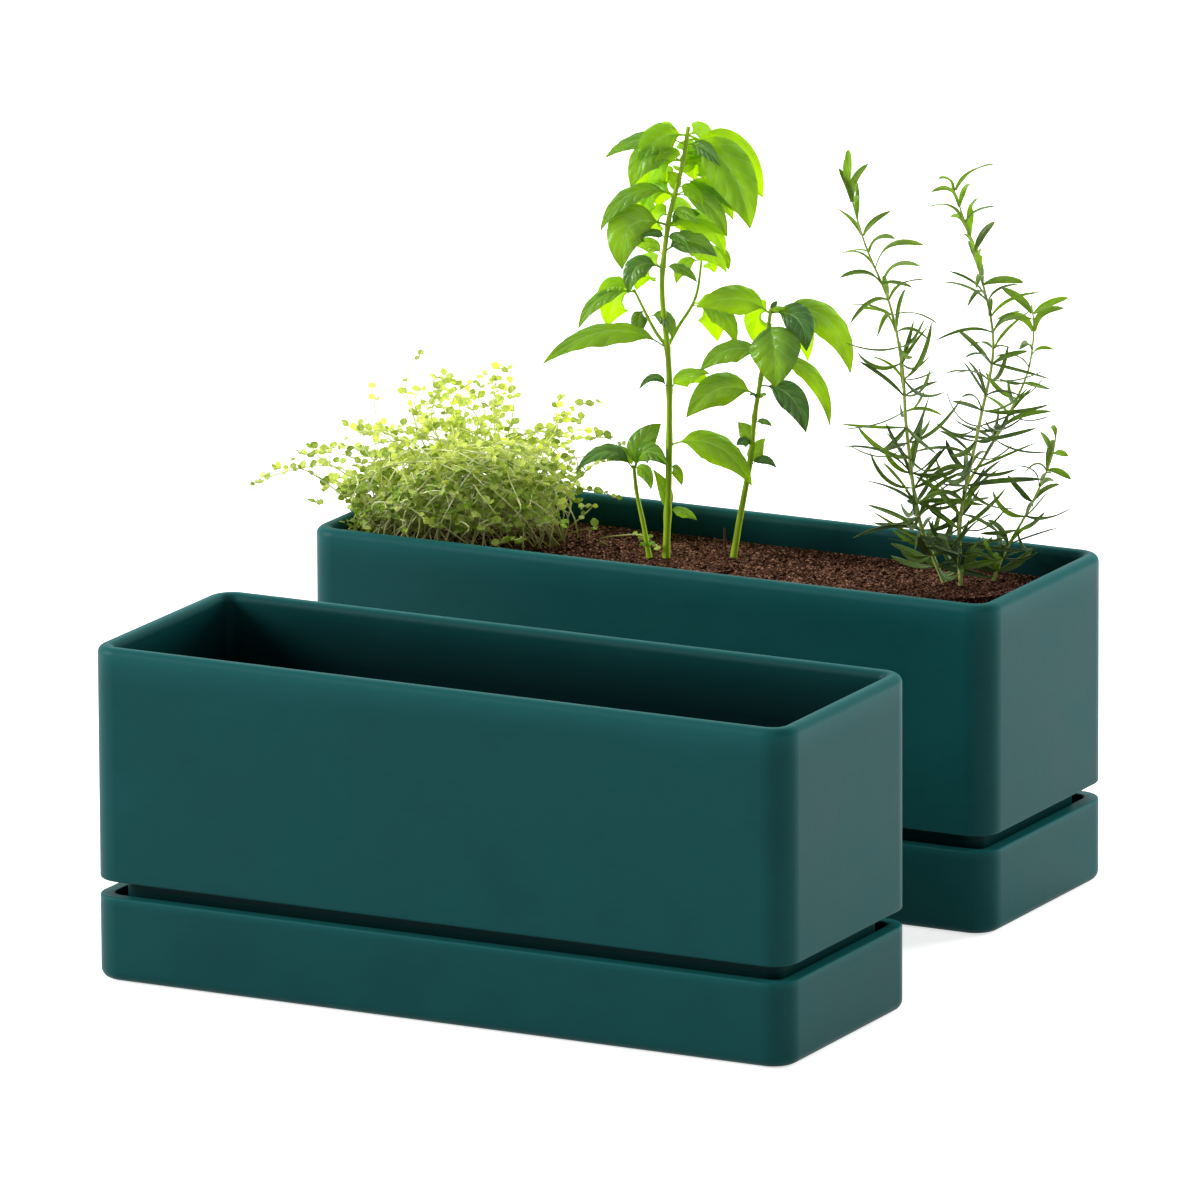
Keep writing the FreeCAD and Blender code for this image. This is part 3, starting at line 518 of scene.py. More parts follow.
# %% Crumbs
CRUMB_TRIES = 4200
WALL_GAP = 2.5 * MM
chance = random.Random(11)
bpy.ops.mesh.primitive_ico_sphere_add(subdivisions=1, radius=1)
crumb = bpy.context.object
bpy.ops.object.mode_set(mode="EDIT")
bpy.ops.transform.vertex_random(offset=0.35, seed=3)
bpy.ops.transform.resize(value=(1, 0.8, 0.6))
bpy.ops.object.mode_set(mode="OBJECT")
crumb_points = read_points(crumb)
bed_points = read_points(bed)
top_points = bed_points[bed_points[:, 2] > SOIL_LEVEL - 8 * MM]
balls = [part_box(herb + "_root_ball") for herb in ("thyme", "basil", "tarragon")]
shapes = []
for k in range(CRUMB_TRIES):
    spot = top_points[chance.randrange(len(top_points))].copy()
    for low, high in balls:
        if hypot(spot[0] - (low.x + high.x) / 2, spot[1] - (low.y + high.y) / 2) < (high.x - low.x) / 2:
            spot[2] = max(spot[2], high.z - 0.3 * MM)
    if abs(spot[0] - middle.x) > length / 2 - WALL_GAP or abs(spot[1] - middle.y) > width / 2 - WALL_GAP:
        continue
    size = chance.uniform(0.45, 0.9) * MM if chance.random() < 0.9 else chance.uniform(0.9, 1.7) * MM
    turn = Matrix.Rotation(chance.uniform(0, 6.28), 4, "Z")
    turn = turn @ Matrix.Rotation(chance.uniform(-0.9, 0.9), 4, "X")
    shapes.append((crumb_points * size) @ np.array(turn.to_3x3()).T + spot + np.array((0, 0, 0.2 * size)))
crumbs = gather("soil_crumbs", crumb, shapes)
bpy.data.objects.remove(crumb)
settle(bed, "soil_bed", "soil", "potting_soil")
settle(crumbs, "soil_crumbs", "soil", "potting_soil")

# %% [markdown]
# ## Root balls
# Each herb came out of a round nursery pot, so its roots hold a tapered plug of soil. Only the top
# shows in the bed. A cylinder is tapered, cut into rings, roughened and given its grains.

# %% Root material
ROOT_PALE = (0.26, 0.19, 0.12, 1)
looks["roots"], tree, shader, coordinates = new_material("root_ball")
where = coordinates["Object"]
fibres = add_node(tree, "TexNoise", Vector=where, Scale=170.0, Detail=6.0, Distortion=2.5)
bands = calculate("PINGPONG", calculate("MULTIPLY", fibres.outputs["Fac"], 7.0), 0.5)
below_top = remap(axis(where, "Z"), 121 * MM, 116 * MM, 0, 0.7)
threads = calculate("MULTIPLY", remap(bands, 0, 0.09, 1, 0), below_top)
ground = place_group(tree, granules, Vector=where, **SOIL)
colour = blend(threads, ground["Color"], ROOT_PALE)
dress(shader, colour, 0.92, 0.0, ground["Height"], 0.8, 0.6 * MM)

# %% Root balls
BALL_TAPER = 4 * MM
TOP_RINGS = (0.93, 0.85, 0.8, 0.75, 0.7, 0.6, 0.5, 0.3)
crowns = {}
for herb in ("thyme", "basil", "tarragon"):
    low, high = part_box(herb + "_root_ball")
    centre = (low + high) / 2
    radius = (high.x - low.x) / 2
    crowns[herb] = Vector((centre.x, centre.y, high.z))
    bpy.ops.mesh.primitive_cylinder_add(
        vertices=96, radius=radius, depth=high.z - low.z, location=centre, end_fill_type="NOTHING")
    ball = bpy.context.object
    bpy.ops.object.transform_apply(location=True)
    select_points(ball, lambda point: point.z > centre.z)
    for share in TOP_RINGS:
        bpy.ops.mesh.extrude_edges_move()
        bpy.ops.transform.resize(value=(share, share, 1), center_override=centre)
    bpy.ops.mesh.edge_face_add()
    select_points(ball, lambda point: point.z < centre.z)
    share = (radius - BALL_TAPER) / radius
    bpy.ops.transform.resize(value=(share, share, 1), center_override=centre)
    bpy.ops.mesh.edge_face_add()
    bpy.ops.object.mode_set(mode="OBJECT")
    modify(ball, "TRIANGULATE")
    modify(ball, "DISPLACE", texture=fine, strength=1.0 * MM, mid_level=0.75, texture_coords="GLOBAL")
    settle(ball, herb + "_roots", "roots", herb + "_root_ball")

# %% [markdown]
# ## Directions for the herbs
# The herbs are spread in the plane that faces us. `ACROSS` runs to the right in that plane and
# `AWAY` into the picture, so a leaf's heading of 0 points right, 90 away, 180 left and 270 to us.

# %% Herb directions and smooth lines
UP = Vector((0, 0, 1))
ACROSS = Vector((cos(YAW), -sin(YAW), 0))
AWAY = Vector((sin(YAW), cos(YAW), 0))


def facing(angle):
    return ACROSS * cos(radians(angle)) + AWAY * sin(radians(angle))


def shift(up, across, away):
    """A step in the herbs' own directions, given in millimetres."""
    return (UP * up + ACROSS * across + AWAY * away) * MM


class Line:
    """A smooth line through points, which can say where it is and where it heads."""

    STEPS = 6

    def __init__(self, points):
        ends = [points[0] * 2 - points[1]] + points + [points[-1] * 2 - points[-2]]
        self.samples = []
        for a, b, c, d in zip(ends, ends[1:], ends[2:], ends[3:]):
            for k in range(self.STEPS):
                t = k / self.STEPS
                self.samples.append(0.5 * (
                    2 * b + (c - a) * t + (2 * a - 5 * b + 4 * c - d) * t ** 2
                    + (3 * b - a - 3 * c + d) * t ** 3))
        self.samples.append(points[-1].copy())
        steps = [(q - p).length for p, q in zip(self.samples, self.samples[1:])]
        self.reach = [sum(steps[:k]) for k in range(len(steps) + 1)]

    def at(self, share):
        """Place and direction at a share of the length."""
        goal = share * self.reach[-1]
        for k in range(len(self.reach) - 1):
            if self.reach[k + 1] >= goal:
                break
        part = (goal - self.reach[k]) / (self.reach[k + 1] - self.reach[k])
        run = self.samples[k + 1] - self.samples[k]
        return self.samples[k] + run * part, run.normalized()


def tube(name, lines_and_radii, sides):
    """Round stems along lines, one mesh. Radii are (share, radius) pairs in millimetres."""
    curve = bpy.data.curves.new(name, "CURVE")
    curve.dimensions = "3D"
    curve.bevel_depth = 1
    curve.bevel_resolution = sides
    curve.use_fill_caps = True
    for line, radii in lines_and_radii:
        spline = curve.splines.new("POLY")
        spline.points.add(len(line.samples) - 1)
        shares = [reach / line.reach[-1] for reach in line.reach]
        for point, sample, share in zip(spline.points, line.samples, shares):
            point.co = (*sample, 1)
            point.radius = float(np.interp(share, *zip(*radii))) * MM
    piece = bpy.data.objects.new(name, curve)
    bpy.context.scene.collection.objects.link(piece)
    pick(piece)
    bpy.ops.object.convert(target="MESH")
    smooth(piece, 60)
    return piece


# %% [markdown]
# ## A leaf, modelled once per kind
# A leaf starts as a flat grid. Each crosswise row of points is scaled to the leaf's outline, from
# the narrow stalk over the widest part to the tip. The master stays flat, one unit long and one
# unit from middle to edge; `grow_leaf` then bends a copy of its points into a living shape.

# %% Flat master leaves
def flat_leaf(name, columns, rows, outline):
    """A flat leaf with a UV map. The outline is (share of the length, share of the half width)."""
    bpy.ops.mesh.primitive_grid_add(x_subdivisions=columns, y_subdivisions=rows, size=2, calc_uvs=True)
    piece = bpy.context.object
    piece.name = name
    for k in range(rows + 1):
        level = 2 * k / rows - 1
        share = float(np.interp(k / rows, *zip(*outline)))
        select_points(piece, lambda point: abs(point.y - level) < 0.001)
        bpy.ops.transform.resize(value=(share, 1, 1), center_override=(0, level, 0))
    bpy.ops.object.mode_set(mode="OBJECT")
    for point in piece.data.vertices:
        point.co.y = (point.co.y + 1) / 2
    return piece


BASIL_OUTLINE = [
    (0, 0.05), (0.11, 0.05), (0.15, 0.2), (0.2, 0.48), (0.28, 0.79), (0.38, 0.96), (0.47, 1.0), (0.59, 0.95),
    (0.71, 0.79), (0.82, 0.56), (0.91, 0.32), (0.965, 0.13), (1, 0.02)]
NARROW_OUTLINE = [(0, 0.3), (0.1, 0.5), (0.3, 0.9), (0.55, 1.0), (0.75, 0.9), (0.9, 0.6), (1, 0.08)]
ROUND_OUTLINE = [(0, 0.12), (0.33, 0.85), (0.67, 1.0), (1, 0.3)]
broad = flat_leaf("broad_leaf", 10, 30, BASIL_OUTLINE)
narrow = flat_leaf("narrow_leaf", 2, 10, NARROW_OUTLINE)
tiny = flat_leaf("tiny_leaf", 2, 3, ROUND_OUTLINE)
print("master leaves:", [len(leaf.data.polygons) for leaf in (broad, narrow, tiny)])


# %% Bending a leaf
QUILT_PAIRS = 6
QUILT_LEAN = 0.35
EDGE_WAVES = 3.5
EDGE_WAVE_HEIGHT = 0.45


def grow_leaf(flat, foot, reach, sag, width, face, fold=0.2, cup=0.3, twist=0.0, quilt=0.0):
    """Points of one leaf in place: `reach` runs from its foot to its tip, in metres.

    The leaf bows away from that straight run by `sag`. `face` turns its upper side from the sky (0)
    to us (90). `fold` lifts both edges from the midrib, `cup` turns them down in a curve, `twist`
    rolls the leaf towards its tip, and `quilt` puffs it up between the side veins and waves its
    edges.
    """
    chord = np.array(reach)
    run = chord / np.linalg.norm(chord)
    up = np.array(UP)
    bow = up - run * run.dot(up)
    bow = bow / np.linalg.norm(bow)
    t = flat[:, 1][:, None]
    control = chord * 0.4 + bow * (2 * sag)
    path = np.array(foot) + 2 * t * (1 - t) * control + t * t * chord
    along = 2 * (1 - 2 * t) * control + 2 * t * chord
    along = along / np.linalg.norm(along, axis=1)[:, None]
    look = up * cos(radians(face)) - np.array(AWAY) * sin(radians(face))
    over = look - along * (along @ look)[:, None]
    over = over / np.linalg.norm(over, axis=1)[:, None]
    side = np.cross(along, over)
    share = np.abs(flat[:, 0])
    across = flat[:, 0] * width / 2
    puff = np.abs(np.sin(pi * QUILT_PAIRS * (flat[:, 1] - QUILT_LEAN * share))) * share * (1.1 - share)
    puff += EDGE_WAVE_HEIGHT * share ** 3 * np.sin(2 * pi * EDGE_WAVES * flat[:, 1] + twist * flat[:, 0])
    height = (fold * share - cup * share ** 2 + quilt * puff) * width / 2
    roll = np.radians(twist * flat[:, 1])
    a = (across * np.cos(roll) - height * np.sin(roll))[:, None]
    b = (across * np.sin(roll) + height * np.cos(roll))[:, None]
    return path + side * a + over * b


def thicken(piece, thickness):
    """Turns paper-thin leaves into closed solids, without moving their middle."""
    modify(piece, "SOLIDIFY", thickness=thickness * MM, offset=0)
    smooth(piece, 50)


# %% [markdown]
# ## Leaf and stem finishes
# Leaves are thin enough for light to pass through them: seen against the light they turn bright
# yellow green, and lit from our side they are deeper green with a soft sheen. A Translucent shader
# is mixed with the Principled one. How much, and how fresh the leaf's colour is, goes by each leaf's
# age number, so where that number stands for painted light, the glow and paleness are painted too.

# %% Leaf material
OLDEST_TO_YOUNGEST = 9.0


def leaf_material(name, deep, fresh, vein, glow, pairs, through, rough, sheen, scale):
    """Deep and fresh tissue by age and in patches, pale veins, and light through the thin blade."""
    material, tree, shader, coordinates = new_material(name)
    patches = place_group(tree, mottle, Vector=coordinates["Object"], Scale=scale, Contrast=1.0)
    # The age number, read from the UV tile, also carries the painted backlight and painted shade set on some
    # leaves.
    tile = calculate("FLOOR", axis(coordinates["UV"], "X"))
    age = calculate("ADD", calculate("DIVIDE", tile, OLDEST_TO_YOUNGEST),
                    calculate("SUBTRACT", patches["Mask"], 0.5))
    age = add_node(tree, "Clamp", Value=age).outputs[0]
    lines = place_group(tree, veins, UV=coordinates["UV"], Pairs=pairs, Lean=0.5, Width=0.075)
    colour = blend(age, deep, fresh)
    colour = blend(calculate("MULTIPLY", lines["Veins"], 0.7), colour, vein)
    dress(shader, colour, rough, sheen, lines["Height"], 0.65, 5 * MM)
    lit = blend(calculate("MULTIPLY", lines["Veins"], 0.35), glow, vein)
    passing = add_node(tree, "BsdfTranslucent", Color=lit)
    join_shaders(add_node(tree, "MixShader", Fac=remap(age, 0, 1, *through)), shader, passing)
    return material


looks["basil_leaf"] = leaf_material(
    "basil_leaf", deep=(0.058, 0.205, 0.045, 1), fresh=(0.24, 0.48, 0.010, 1), vein=(0.50, 0.74, 0.24, 1),
    glow=(0.72, 0.92, 0.02, 1), pairs=6.0, through=(0.14, 0.64), rough=0.28, sheen=0.42, scale=60.0)
looks["thyme_leaf"] = leaf_material(
    "thyme_leaf", deep=(0.25, 0.44, 0.025, 1), fresh=(0.93, 1.0, 0.44, 1), vein=(0.66, 0.8, 0.3, 1),
    glow=(0.95, 1.0, 0.32, 1), pairs=2.0, through=(0.20, 0.60), rough=0.5, sheen=0.08, scale=110.0)
looks["tarragon_leaf"] = leaf_material(
    "tarragon_leaf", deep=(0.068, 0.125, 0.042, 1), fresh=(0.25, 0.40, 0.03, 1), vein=(0.38, 0.46, 0.26, 1),
    glow=(0.55, 0.78, 0.05, 1), pairs=0.5, through=(0.08, 0.50), rough=0.36, sheen=0.3, scale=90.0)


# %% Stem material
def stem_material(name, low, high, rough, streaks, foot=None):
    """Fibres along the stem. A foot colour darkens the stem's lowest centimetres: partly older woody stem,
    partly painted shade under the leaves.
    """
    material, tree, shader, coordinates = new_material(name)
    where = coordinates["Object"]
    stretched = add_node(tree, "Mapping", Vector=where, Scale=(streaks, streaks, streaks * 0.08))
    fibre = place_group(tree, mottle, Vector=stretched.outputs[0], Scale=1.0, Contrast=2.2)
    colour = blend(fibre["Mask"], low, high)
    if foot:
        # Painted shade, partly real woody stem: the lowest 24 mm above the soil are darkened towards the foot
        # colour.
        up = remap(axis(where, "Z"), SOIL_LEVEL, SOIL_LEVEL + 24 * MM)
        colour = blend(up, foot, colour)
    dress(shader, colour, rough, 0.15, fibre["Height"], 0.4, 0.5 * MM)
    return material


for name, *tones in (
    ("basil_stem", (0.24, 0.44, 0.010, 1), (0.46, 0.68, 0.04, 1), 0.42, 900.0),
    ("thyme_stem", (0.88, 0.96, 0.32, 1), (1.0, 1.0, 0.72, 1), 0.6, 700.0, (0.20, 0.20, 0.03, 1)),
    ("tarragon_stem", (0.26, 0.36, 0.05, 1), (0.56, 0.66, 0.20, 1), 0.5, 900.0),
    ("dry_twig", (0.05, 0.025, 0.015, 1), (0.16, 0.085, 0.05, 1), 0.85, 1200.0),
):
    looks[name] = stem_material(name, *tones)
print("finishes:", list(looks))

# %% [markdown]
# ## Basil
# Basil stands on square-ish pale stems that thicken at each joint, where two leaves face each other.
# Its leaves are broad and domed, with edges that turn down, and the large ones hang by their own
# weight. Each row of a table is one leaf: where it leaves its stem, where its tip is from there, how
# much it bows, how wide it is and how far its upper side is turned to us.

# %% Basil stems
BASIL_HEIGHT = 177
SIDE_HEIGHT = 102
SHOOT_HEIGHT = 38
basil = crowns["basil"]


def stem_line(foot, height, shares):
    """A line from the soil up. Each further point is (up, across, away) in shares of the height."""
    return Line([foot] + [foot + shift(*[share * height for share in point]) for point in shares])


main_foot = basil + ACROSS * (-10 * MM)
main_line = stem_line(main_foot, BASIL_HEIGHT, [
    (0.2, 0.007, 0.004), (0.39, 0.009, 0.006), (0.485, 0.005, 0.004), (0.63, -0.007, 0.0),
    (0.77, 0.007, -0.004), (0.84, 0.022, -0.008), (0.92, 0.042, -0.01), (1.0, 0.054, -0.01)])
fork, _ = main_line.at(0.485)
left_line = stem_line(fork, BASIL_HEIGHT, [(0.04, -0.03, 0.01), (0.13, -0.075, 0.02)])
right_line = stem_line(fork, BASIL_HEIGHT, [(0.04, 0.025, 0.03), (0.1, 0.065, 0.07), (0.19, 0.08, 0.1)])
side_line = stem_line(basil + ACROSS * (17 * MM), SIDE_HEIGHT, [
    (0.15, 0.025, 0.01), (0.37, 0.065, 0.02), (0.56, 0.085, 0.02), (0.72, 0.11, 0.01), (1.0, 0.15, 0.0)])
shoot_line = stem_line(basil + ACROSS * (-16.7 * MM), SHOOT_HEIGHT, [
    (0.35, -0.06, 0.02), (0.7, -0.13, 0.02), (1.0, -0.16, 0.0)])


def jointed(first, last, joints, swell):
    """Radii that taper from first to last and swell at the joints."""
    radii = [(0, first * 1.12), (0.02, first)]
    for joint in joints:
        plain = first + (last - first) * joint
        radii += [(joint - 0.014, plain), (joint, plain * swell), (joint + 0.014, plain)]
    return radii + [(1, last)]


MAIN_JOINTS = [0.1, 0.26, 0.39, 0.485, 0.67, 0.77, 0.84, 0.92]
SIDE_JOINTS = [0.38, 0.56, 0.72, 0.84]
branches = [(branch, [(0, 0.8), (1, 0.5)]) for branch in (left_line, right_line)]
for name, lines in (
    ("main", [(main_line, jointed(1.5, 0.9, MAIN_JOINTS, 1.25))] + branches),
    ("side", [(side_line, jointed(1.4, 0.75, SIDE_JOINTS, 1.25))]),
    ("shoot", [(shoot_line, jointed(1.1, 0.7, [0.4, 0.75], 1.2))]),
):
    settle(tube("stem", lines, 3), "basil_%s_stalk" % name, "basil_stem", "basil_%s_stem" % name)

# %% Basil leaves
LEAF_LENGTH = 40 * MM
LEAF_WIDTH = 18 * MM
# In hundredths: the place up the stem, then right, up, away and sag in leaf lengths, then the width in
# leaf widths. The last number is how far the leaf faces us in degrees.
MAIN_LEAVES = [
    (10, -12, 46, 0, 6, 26, 60), (11, 27, -8, -10, 3, 22, 50), (21, 12, -25, 20, 4, 22, 60),
    (26, 80, -40, -10, 20, 62, 62), (39, -28, 0, -5, 12, 22, 40), (39, 38, 17, -10, 7, 38, 50),
    (39, 40, -4, 25, 12, 35, 50), (48.5, -122, -14, -10, 24, 56, 34), (67, -32, -24, -10, 16, 50, 60),
    (67, 32, -13, -10, 6, 24, 40), (67, -25, -30, 30, 12, 60, 50), (71, 50, -2, -20, 12, 52, 52),
    (71, 60, -30, 30, 16, 50, 50), (74, 20, -4, -25, 6, 26, 40), (77, -44, -42, -15, 26, 86, 76),
    (77, 56, -10, -10, 8, 38, 45), (77, 30, 8, 10, 5, 30, 55), (77, 55, -38, 30, 18, 55, 55),
    (84, -72, -34, -10, 20, 44, 40), (84, 50, -40, -15, 14, 42, 62), (84, 56, -28, 10, 18, 52, 60),
    (84, -32, -32, 30, 14, 68, 55), (84, -6, 26, -10, 8, 26, 75), (92, -50, -24, -15, 22, 64, 58),
    (92, -38, -52, 30, 16, 78, 60), (92, 56, -58, 15, 20, 42, 60), (92, 34, -42, 35, 14, 60, 60),
    (98, -46, -24, -10, 10, 66, 56), (98, 60, -92, -15, 16, 92, 72), (97, 74, -66, 30, 15, 86, 60),
    (98, 20, -46, 35, 16, 62, 60), (96, -78, -16, 10, 12, 50, 40), (98, -52, -42, 35, 8, 86, 55),
    (93, 10, -32, 35, 10, 66, 60), (88, -20, -38, 35, 10, 66, 60), (90, 18, 10, 22, 6, 34, 55),
    (80, 16, -32, 35, 10, 62, 60), (79, -16, -28, 32, 8, 56, 60), (86, 24, -14, -20, 6, 28, 60),
    (80, 26, -8, -20, 5, 26, 60), (74, -24, 4, -20, 5, 24, 50), (70, -30, 8, 10, 6, 28, 55),
    (96, 32, -18, -20, 6, 32, 60), (93, -26, 2, -20, 6, 26, 55), (88, 66, -46, 10, 5, 18, 60)]
LEFT_LEAVES = [
    (55, 24, -22, -10, 12, 30, 58), (65, -5, -32, 10, 6, 34, 70), (95, -56, -36, -5, 14, 34, 45),
    (95, -27, -42, 30, 12, 72, 60), (98, -36, -10, 0, 12, 36, 45)]
RIGHT_LEAVES = [
    (50, 42, -38, -10, 14, 44, 62), (52, 24, -46, 30, 12, 66, 60), (95, -24, -24, 0, 8, 30, 55),
    (98, 26, -14, 5, 10, 36, 50), (98, 12, -22, 25, 8, 42, 55)]
SIDE_LEAVES = [
    (37, 14, 27, 0, 3, 30, 70), (37, 25, -2, -5, 7, 20, 45), (45, -12, 22, 5, 3, 32, 70),
    (45, -14, 2, -10, 4, 24, 50), (54, 16, -3, -5, 3, 14, 45), (64, 8, 5, -10, 2, 12, 50),
    (64, -7, 5, -10, 2, 12, 50), (65, -70, -20, -10, 18, 64, 60), (69, 44, -46, -10, 14, 56, 64),
    (80, 64, -72, 10, 22, 36, 55), (81, -62, -14, -5, 14, 50, 45), (94, 5, -58, -25, 16, 104, 80),
    (98.5, -72, 8, -10, 12, 58, 58), (98.5, 34, -36, -15, 16, 62, 60), (98.5, 78, -66, 15, 28, 66, 58),
    (98.5, -15, -38, 30, 12, 62, 60), (98.5, 36, -56, 25, 16, 54, 60), (98.5, 13, 6, -10, 3, 14, 50),
    (98.5, 6, 9, 10, 2, 12, 50)]
SHOOT_LEAVES = [
    (97, -56, 0, -10, 18, 44, 48), (97, -27, 18, 5, 8, 28, 45), (97, 26, 42, 15, 8, 54, 70),
    (97, 32, 6, -15, 16, 46, 50), (97, 16, -16, -25, 10, 30, 55), (12, 7, 5, -10, 2, 12, 45),
    (12, -7, 4, -10, 2, 12, 45)]


def basil_blades(line, radius, youth, rows):
    """Points and age of each leaf of a stem. Leaves that reach away from us get the top age, painted pale and
    the most translucent: a painted backlit glow.
    """
    blades = []
    for number, row in enumerate(rows):
        share, along, up, away, sag, width = [value / 100 for value in row[:6]]
        level = ACROSS * along + AWAY * away
        foot = line.at(share)[0] + level.normalized() * (radius * MM)
        wilt = sin(2.4 * number + 5 * share)
        points = grow_leaf(
            broad_points, foot, (ACROSS * along + UP * up + AWAY * away) * LEAF_LENGTH, sag * LEAF_LENGTH,
            width * LEAF_WIDTH * (1.12 + 0.06 * wilt), row[6],
            fold=0.45, cup=0.75 + 0.25 * wilt, twist=22 * wilt, quilt=0.26)
        age = round(min(9, youth + 3 * wilt + (2 if share > 0.75 else 0)))
        # Painted backlight: leaves that reach away from us get age 9, pale and the most translucent, wherever
        # they sit on the stem.
        blades.append((points, 9 if away > 0.2 else age))
    return blades


def settle_blades(name, slot, master, grown, thickness):
    """Turns leaves, given as (points, age), into one solid piece that replaces its CAD node."""
    blades = gather("blades", master, *zip(*grown))
    thicken(blades, thickness)
    settle(blades, name + "_blades", slot, name + "_leaves")


broad_points = read_points(broad)
branch_blades = basil_blades(left_line, 0.5, 3, LEFT_LEAVES) + basil_blades(right_line, 0.5, 3, RIGHT_LEAVES)
for name, grown in (
    ("main", basil_blades(main_line, 0.9, 4, MAIN_LEAVES) + branch_blades),
    ("side", basil_blades(side_line, 0.8, 1.5, SIDE_LEAVES)),
    ("shoot", basil_blades(shoot_line, 0.6, 2, SHOOT_LEAVES)),
):
    settle_blades("basil_" + name, "basil_leaf", broad, grown, 0.35)

# %% Dry twigs
twigs = []
for across, height, lean in ((14.0, 12, -0.6), (11.3, 8, -1.8)):
    foot = basil + ACROSS * (across * MM)
    twigs.append((Line([foot, foot + shift(height * 0.5, lean * 0.7, 0.4), foot + shift(height, lean, 0)]),
                  [(0, 0.6), (0.45, 0.5), (0.5, 0.75), (0.55, 0.5), (0.9, 0.55), (1, 0.3)]))
settle(tube("twigs", twigs, 2), "dry_twig_stubs", "dry_twig", "dry_twigs")

# %% [markdown]
# ## Tarragon
# Tarragon has thin straight stems and narrow arching leaves, three or four at each joint, pointing
# all ways. The long ones near the soil lie almost level and lift at the tip; those at the top
# stand up and fold over.

# %% Tarragon
TARRAGON_HEIGHT = 166
BALL = 23
tarragon = crowns["tarragon"]
TARRAGON_STEMS = {
    "left": ((-0.3, 0.1), 0.95, [
        (0.16, -0.06, -0.01), (0.38, -0.09, -0.02), (0.53, -0.1, -0.02), (0.69, -0.13, -0.03),
        (0.84, -0.19, -0.02), (1.0, -0.235, -0.01)]),
    "right": ((-0.02, -0.1), 0.95, [
        (0.16, 0.0, 0.02), (0.38, 0.045, 0.05), (0.58, 0.08, 0.07), (0.78, 0.04, 0.07),
        (0.975, -0.02, 0.06)]),
    "thin": ((0.55, 0.2), 0.7, [
        (0.07, 0.03, 0.02), (0.17, 0.09, 0.05), (0.28, 0.14, 0.07), (0.36, 0.155, 0.07)]),
}
JOINT_PITCH = 6.2 * MM
SPRIG_SHARE = 0.24
SPRIG_SHARES = [(0.1, 0.07, 0.06), (0.24, 0.145, 0.1), (0.35, 0.165, 0.11), (0.42, 0.16, 0.11)]
narrow_points = read_points(narrow)
chance = random.Random(23)
BACK_LIMIT = cad_box[1].y - 2 * MM


def narrow_blades(line, first_share, longest):
    """Leaves at every joint of a stem. They are longest near the soil, and bow both ways."""
    joints = int(line.reach[-1] * (1 - first_share) / JOINT_PITCH)
    grown = []
    for k in range(joints):
        share = first_share + (1 - first_share) * ((k + 0.5) / joints) ** 1.1
        first = chance.uniform(0, 360)
        for j in range(6 if share < 0.3 else 4 if share < 0.55 else 3 if share < 0.75 else 2):
            heading = first + (180 if share > 0.75 else 106) * j + chance.uniform(-30, 30)
            length = longest * chance.uniform(0.6, 1.15) * (1.0 - 0.35 * share) * (0.7 if share < 0.1 else 1)
            rise = radians(chance.uniform(-18, 50) + 25 * (share > 0.85))
            sag = chance.uniform(-0.22, 0.16) if share < 0.6 else chance.uniform(0.05, 0.26)
            reach = (facing(heading) * cos(rise) + UP * sin(rise)) * (length * MM)
            foot = line.at(share)[0] + facing(heading) * (0.5 * MM)
            if (foot + reach).y > BACK_LIMIT:
                continue
            broader = 1.45 if share > 0.7 or share < 0.1 else 1
            points = grow_leaf(
                narrow_points, foot, reach, sag * length * MM, broader * chance.uniform(1.3, 2.3) * MM,
                chance.uniform(0, 80), fold=0.5, cup=0.2, twist=chance.uniform(-90, 90))
            age = chance.uniform(0, 3.5) + 6 * share ** 2 + (chance.random() < 0.12) * 4
            grown.append((points, min(9, int(age))))
    return grown


for name, ((across, away), radius, shares) in TARRAGON_STEMS.items():
    foot = tarragon + (ACROSS * across + AWAY * away) * (BALL * MM)
    line = stem_line(foot, TARRAGON_HEIGHT, shares)
    lines = [(line, [(0, radius), (0.5, radius * 0.7), (1, 0.35)])]
    grown = narrow_blades(line, 0.03, 21 if name == "thin" else 29)
    if name == "right":
        sprig = stem_line(line.at(SPRIG_SHARE)[0], TARRAGON_HEIGHT, SPRIG_SHARES)
        lines.append((sprig, [(0, 0.7), (1, 0.35)]))
        grown += narrow_blades(sprig, 0.25, 23)
    settle(tube("stem", lines, 2), "tarragon_%s_stalk" % name, "tarragon_stem", "tarragon_%s_stem" % name)
    settle_blades("tarragon_" + name, "tarragon_leaf", narrow, grown, 0.3)

# %% [markdown]
# ## Thyme
# Thyme is a cushion of wiry stems, pale and tangled, with pairs of tiny round leaves that stand
# thickest at the tips. The stems start close together, spread outwards and droop over the rim. Most
# form the cushion, some run criss-cross through it, and the tufts and strays that the photograph
# shows outside it are listed one by one. The whole cushion leans over the pot's end.

# %% Where the thyme's stems go
thyme = crowns["thyme"]
LEAN = ACROSS * (-9 * MM)
CROWN = 42
REACH = 52
RISE = 49
STEM_COUNT = 128
TANGLE = 90
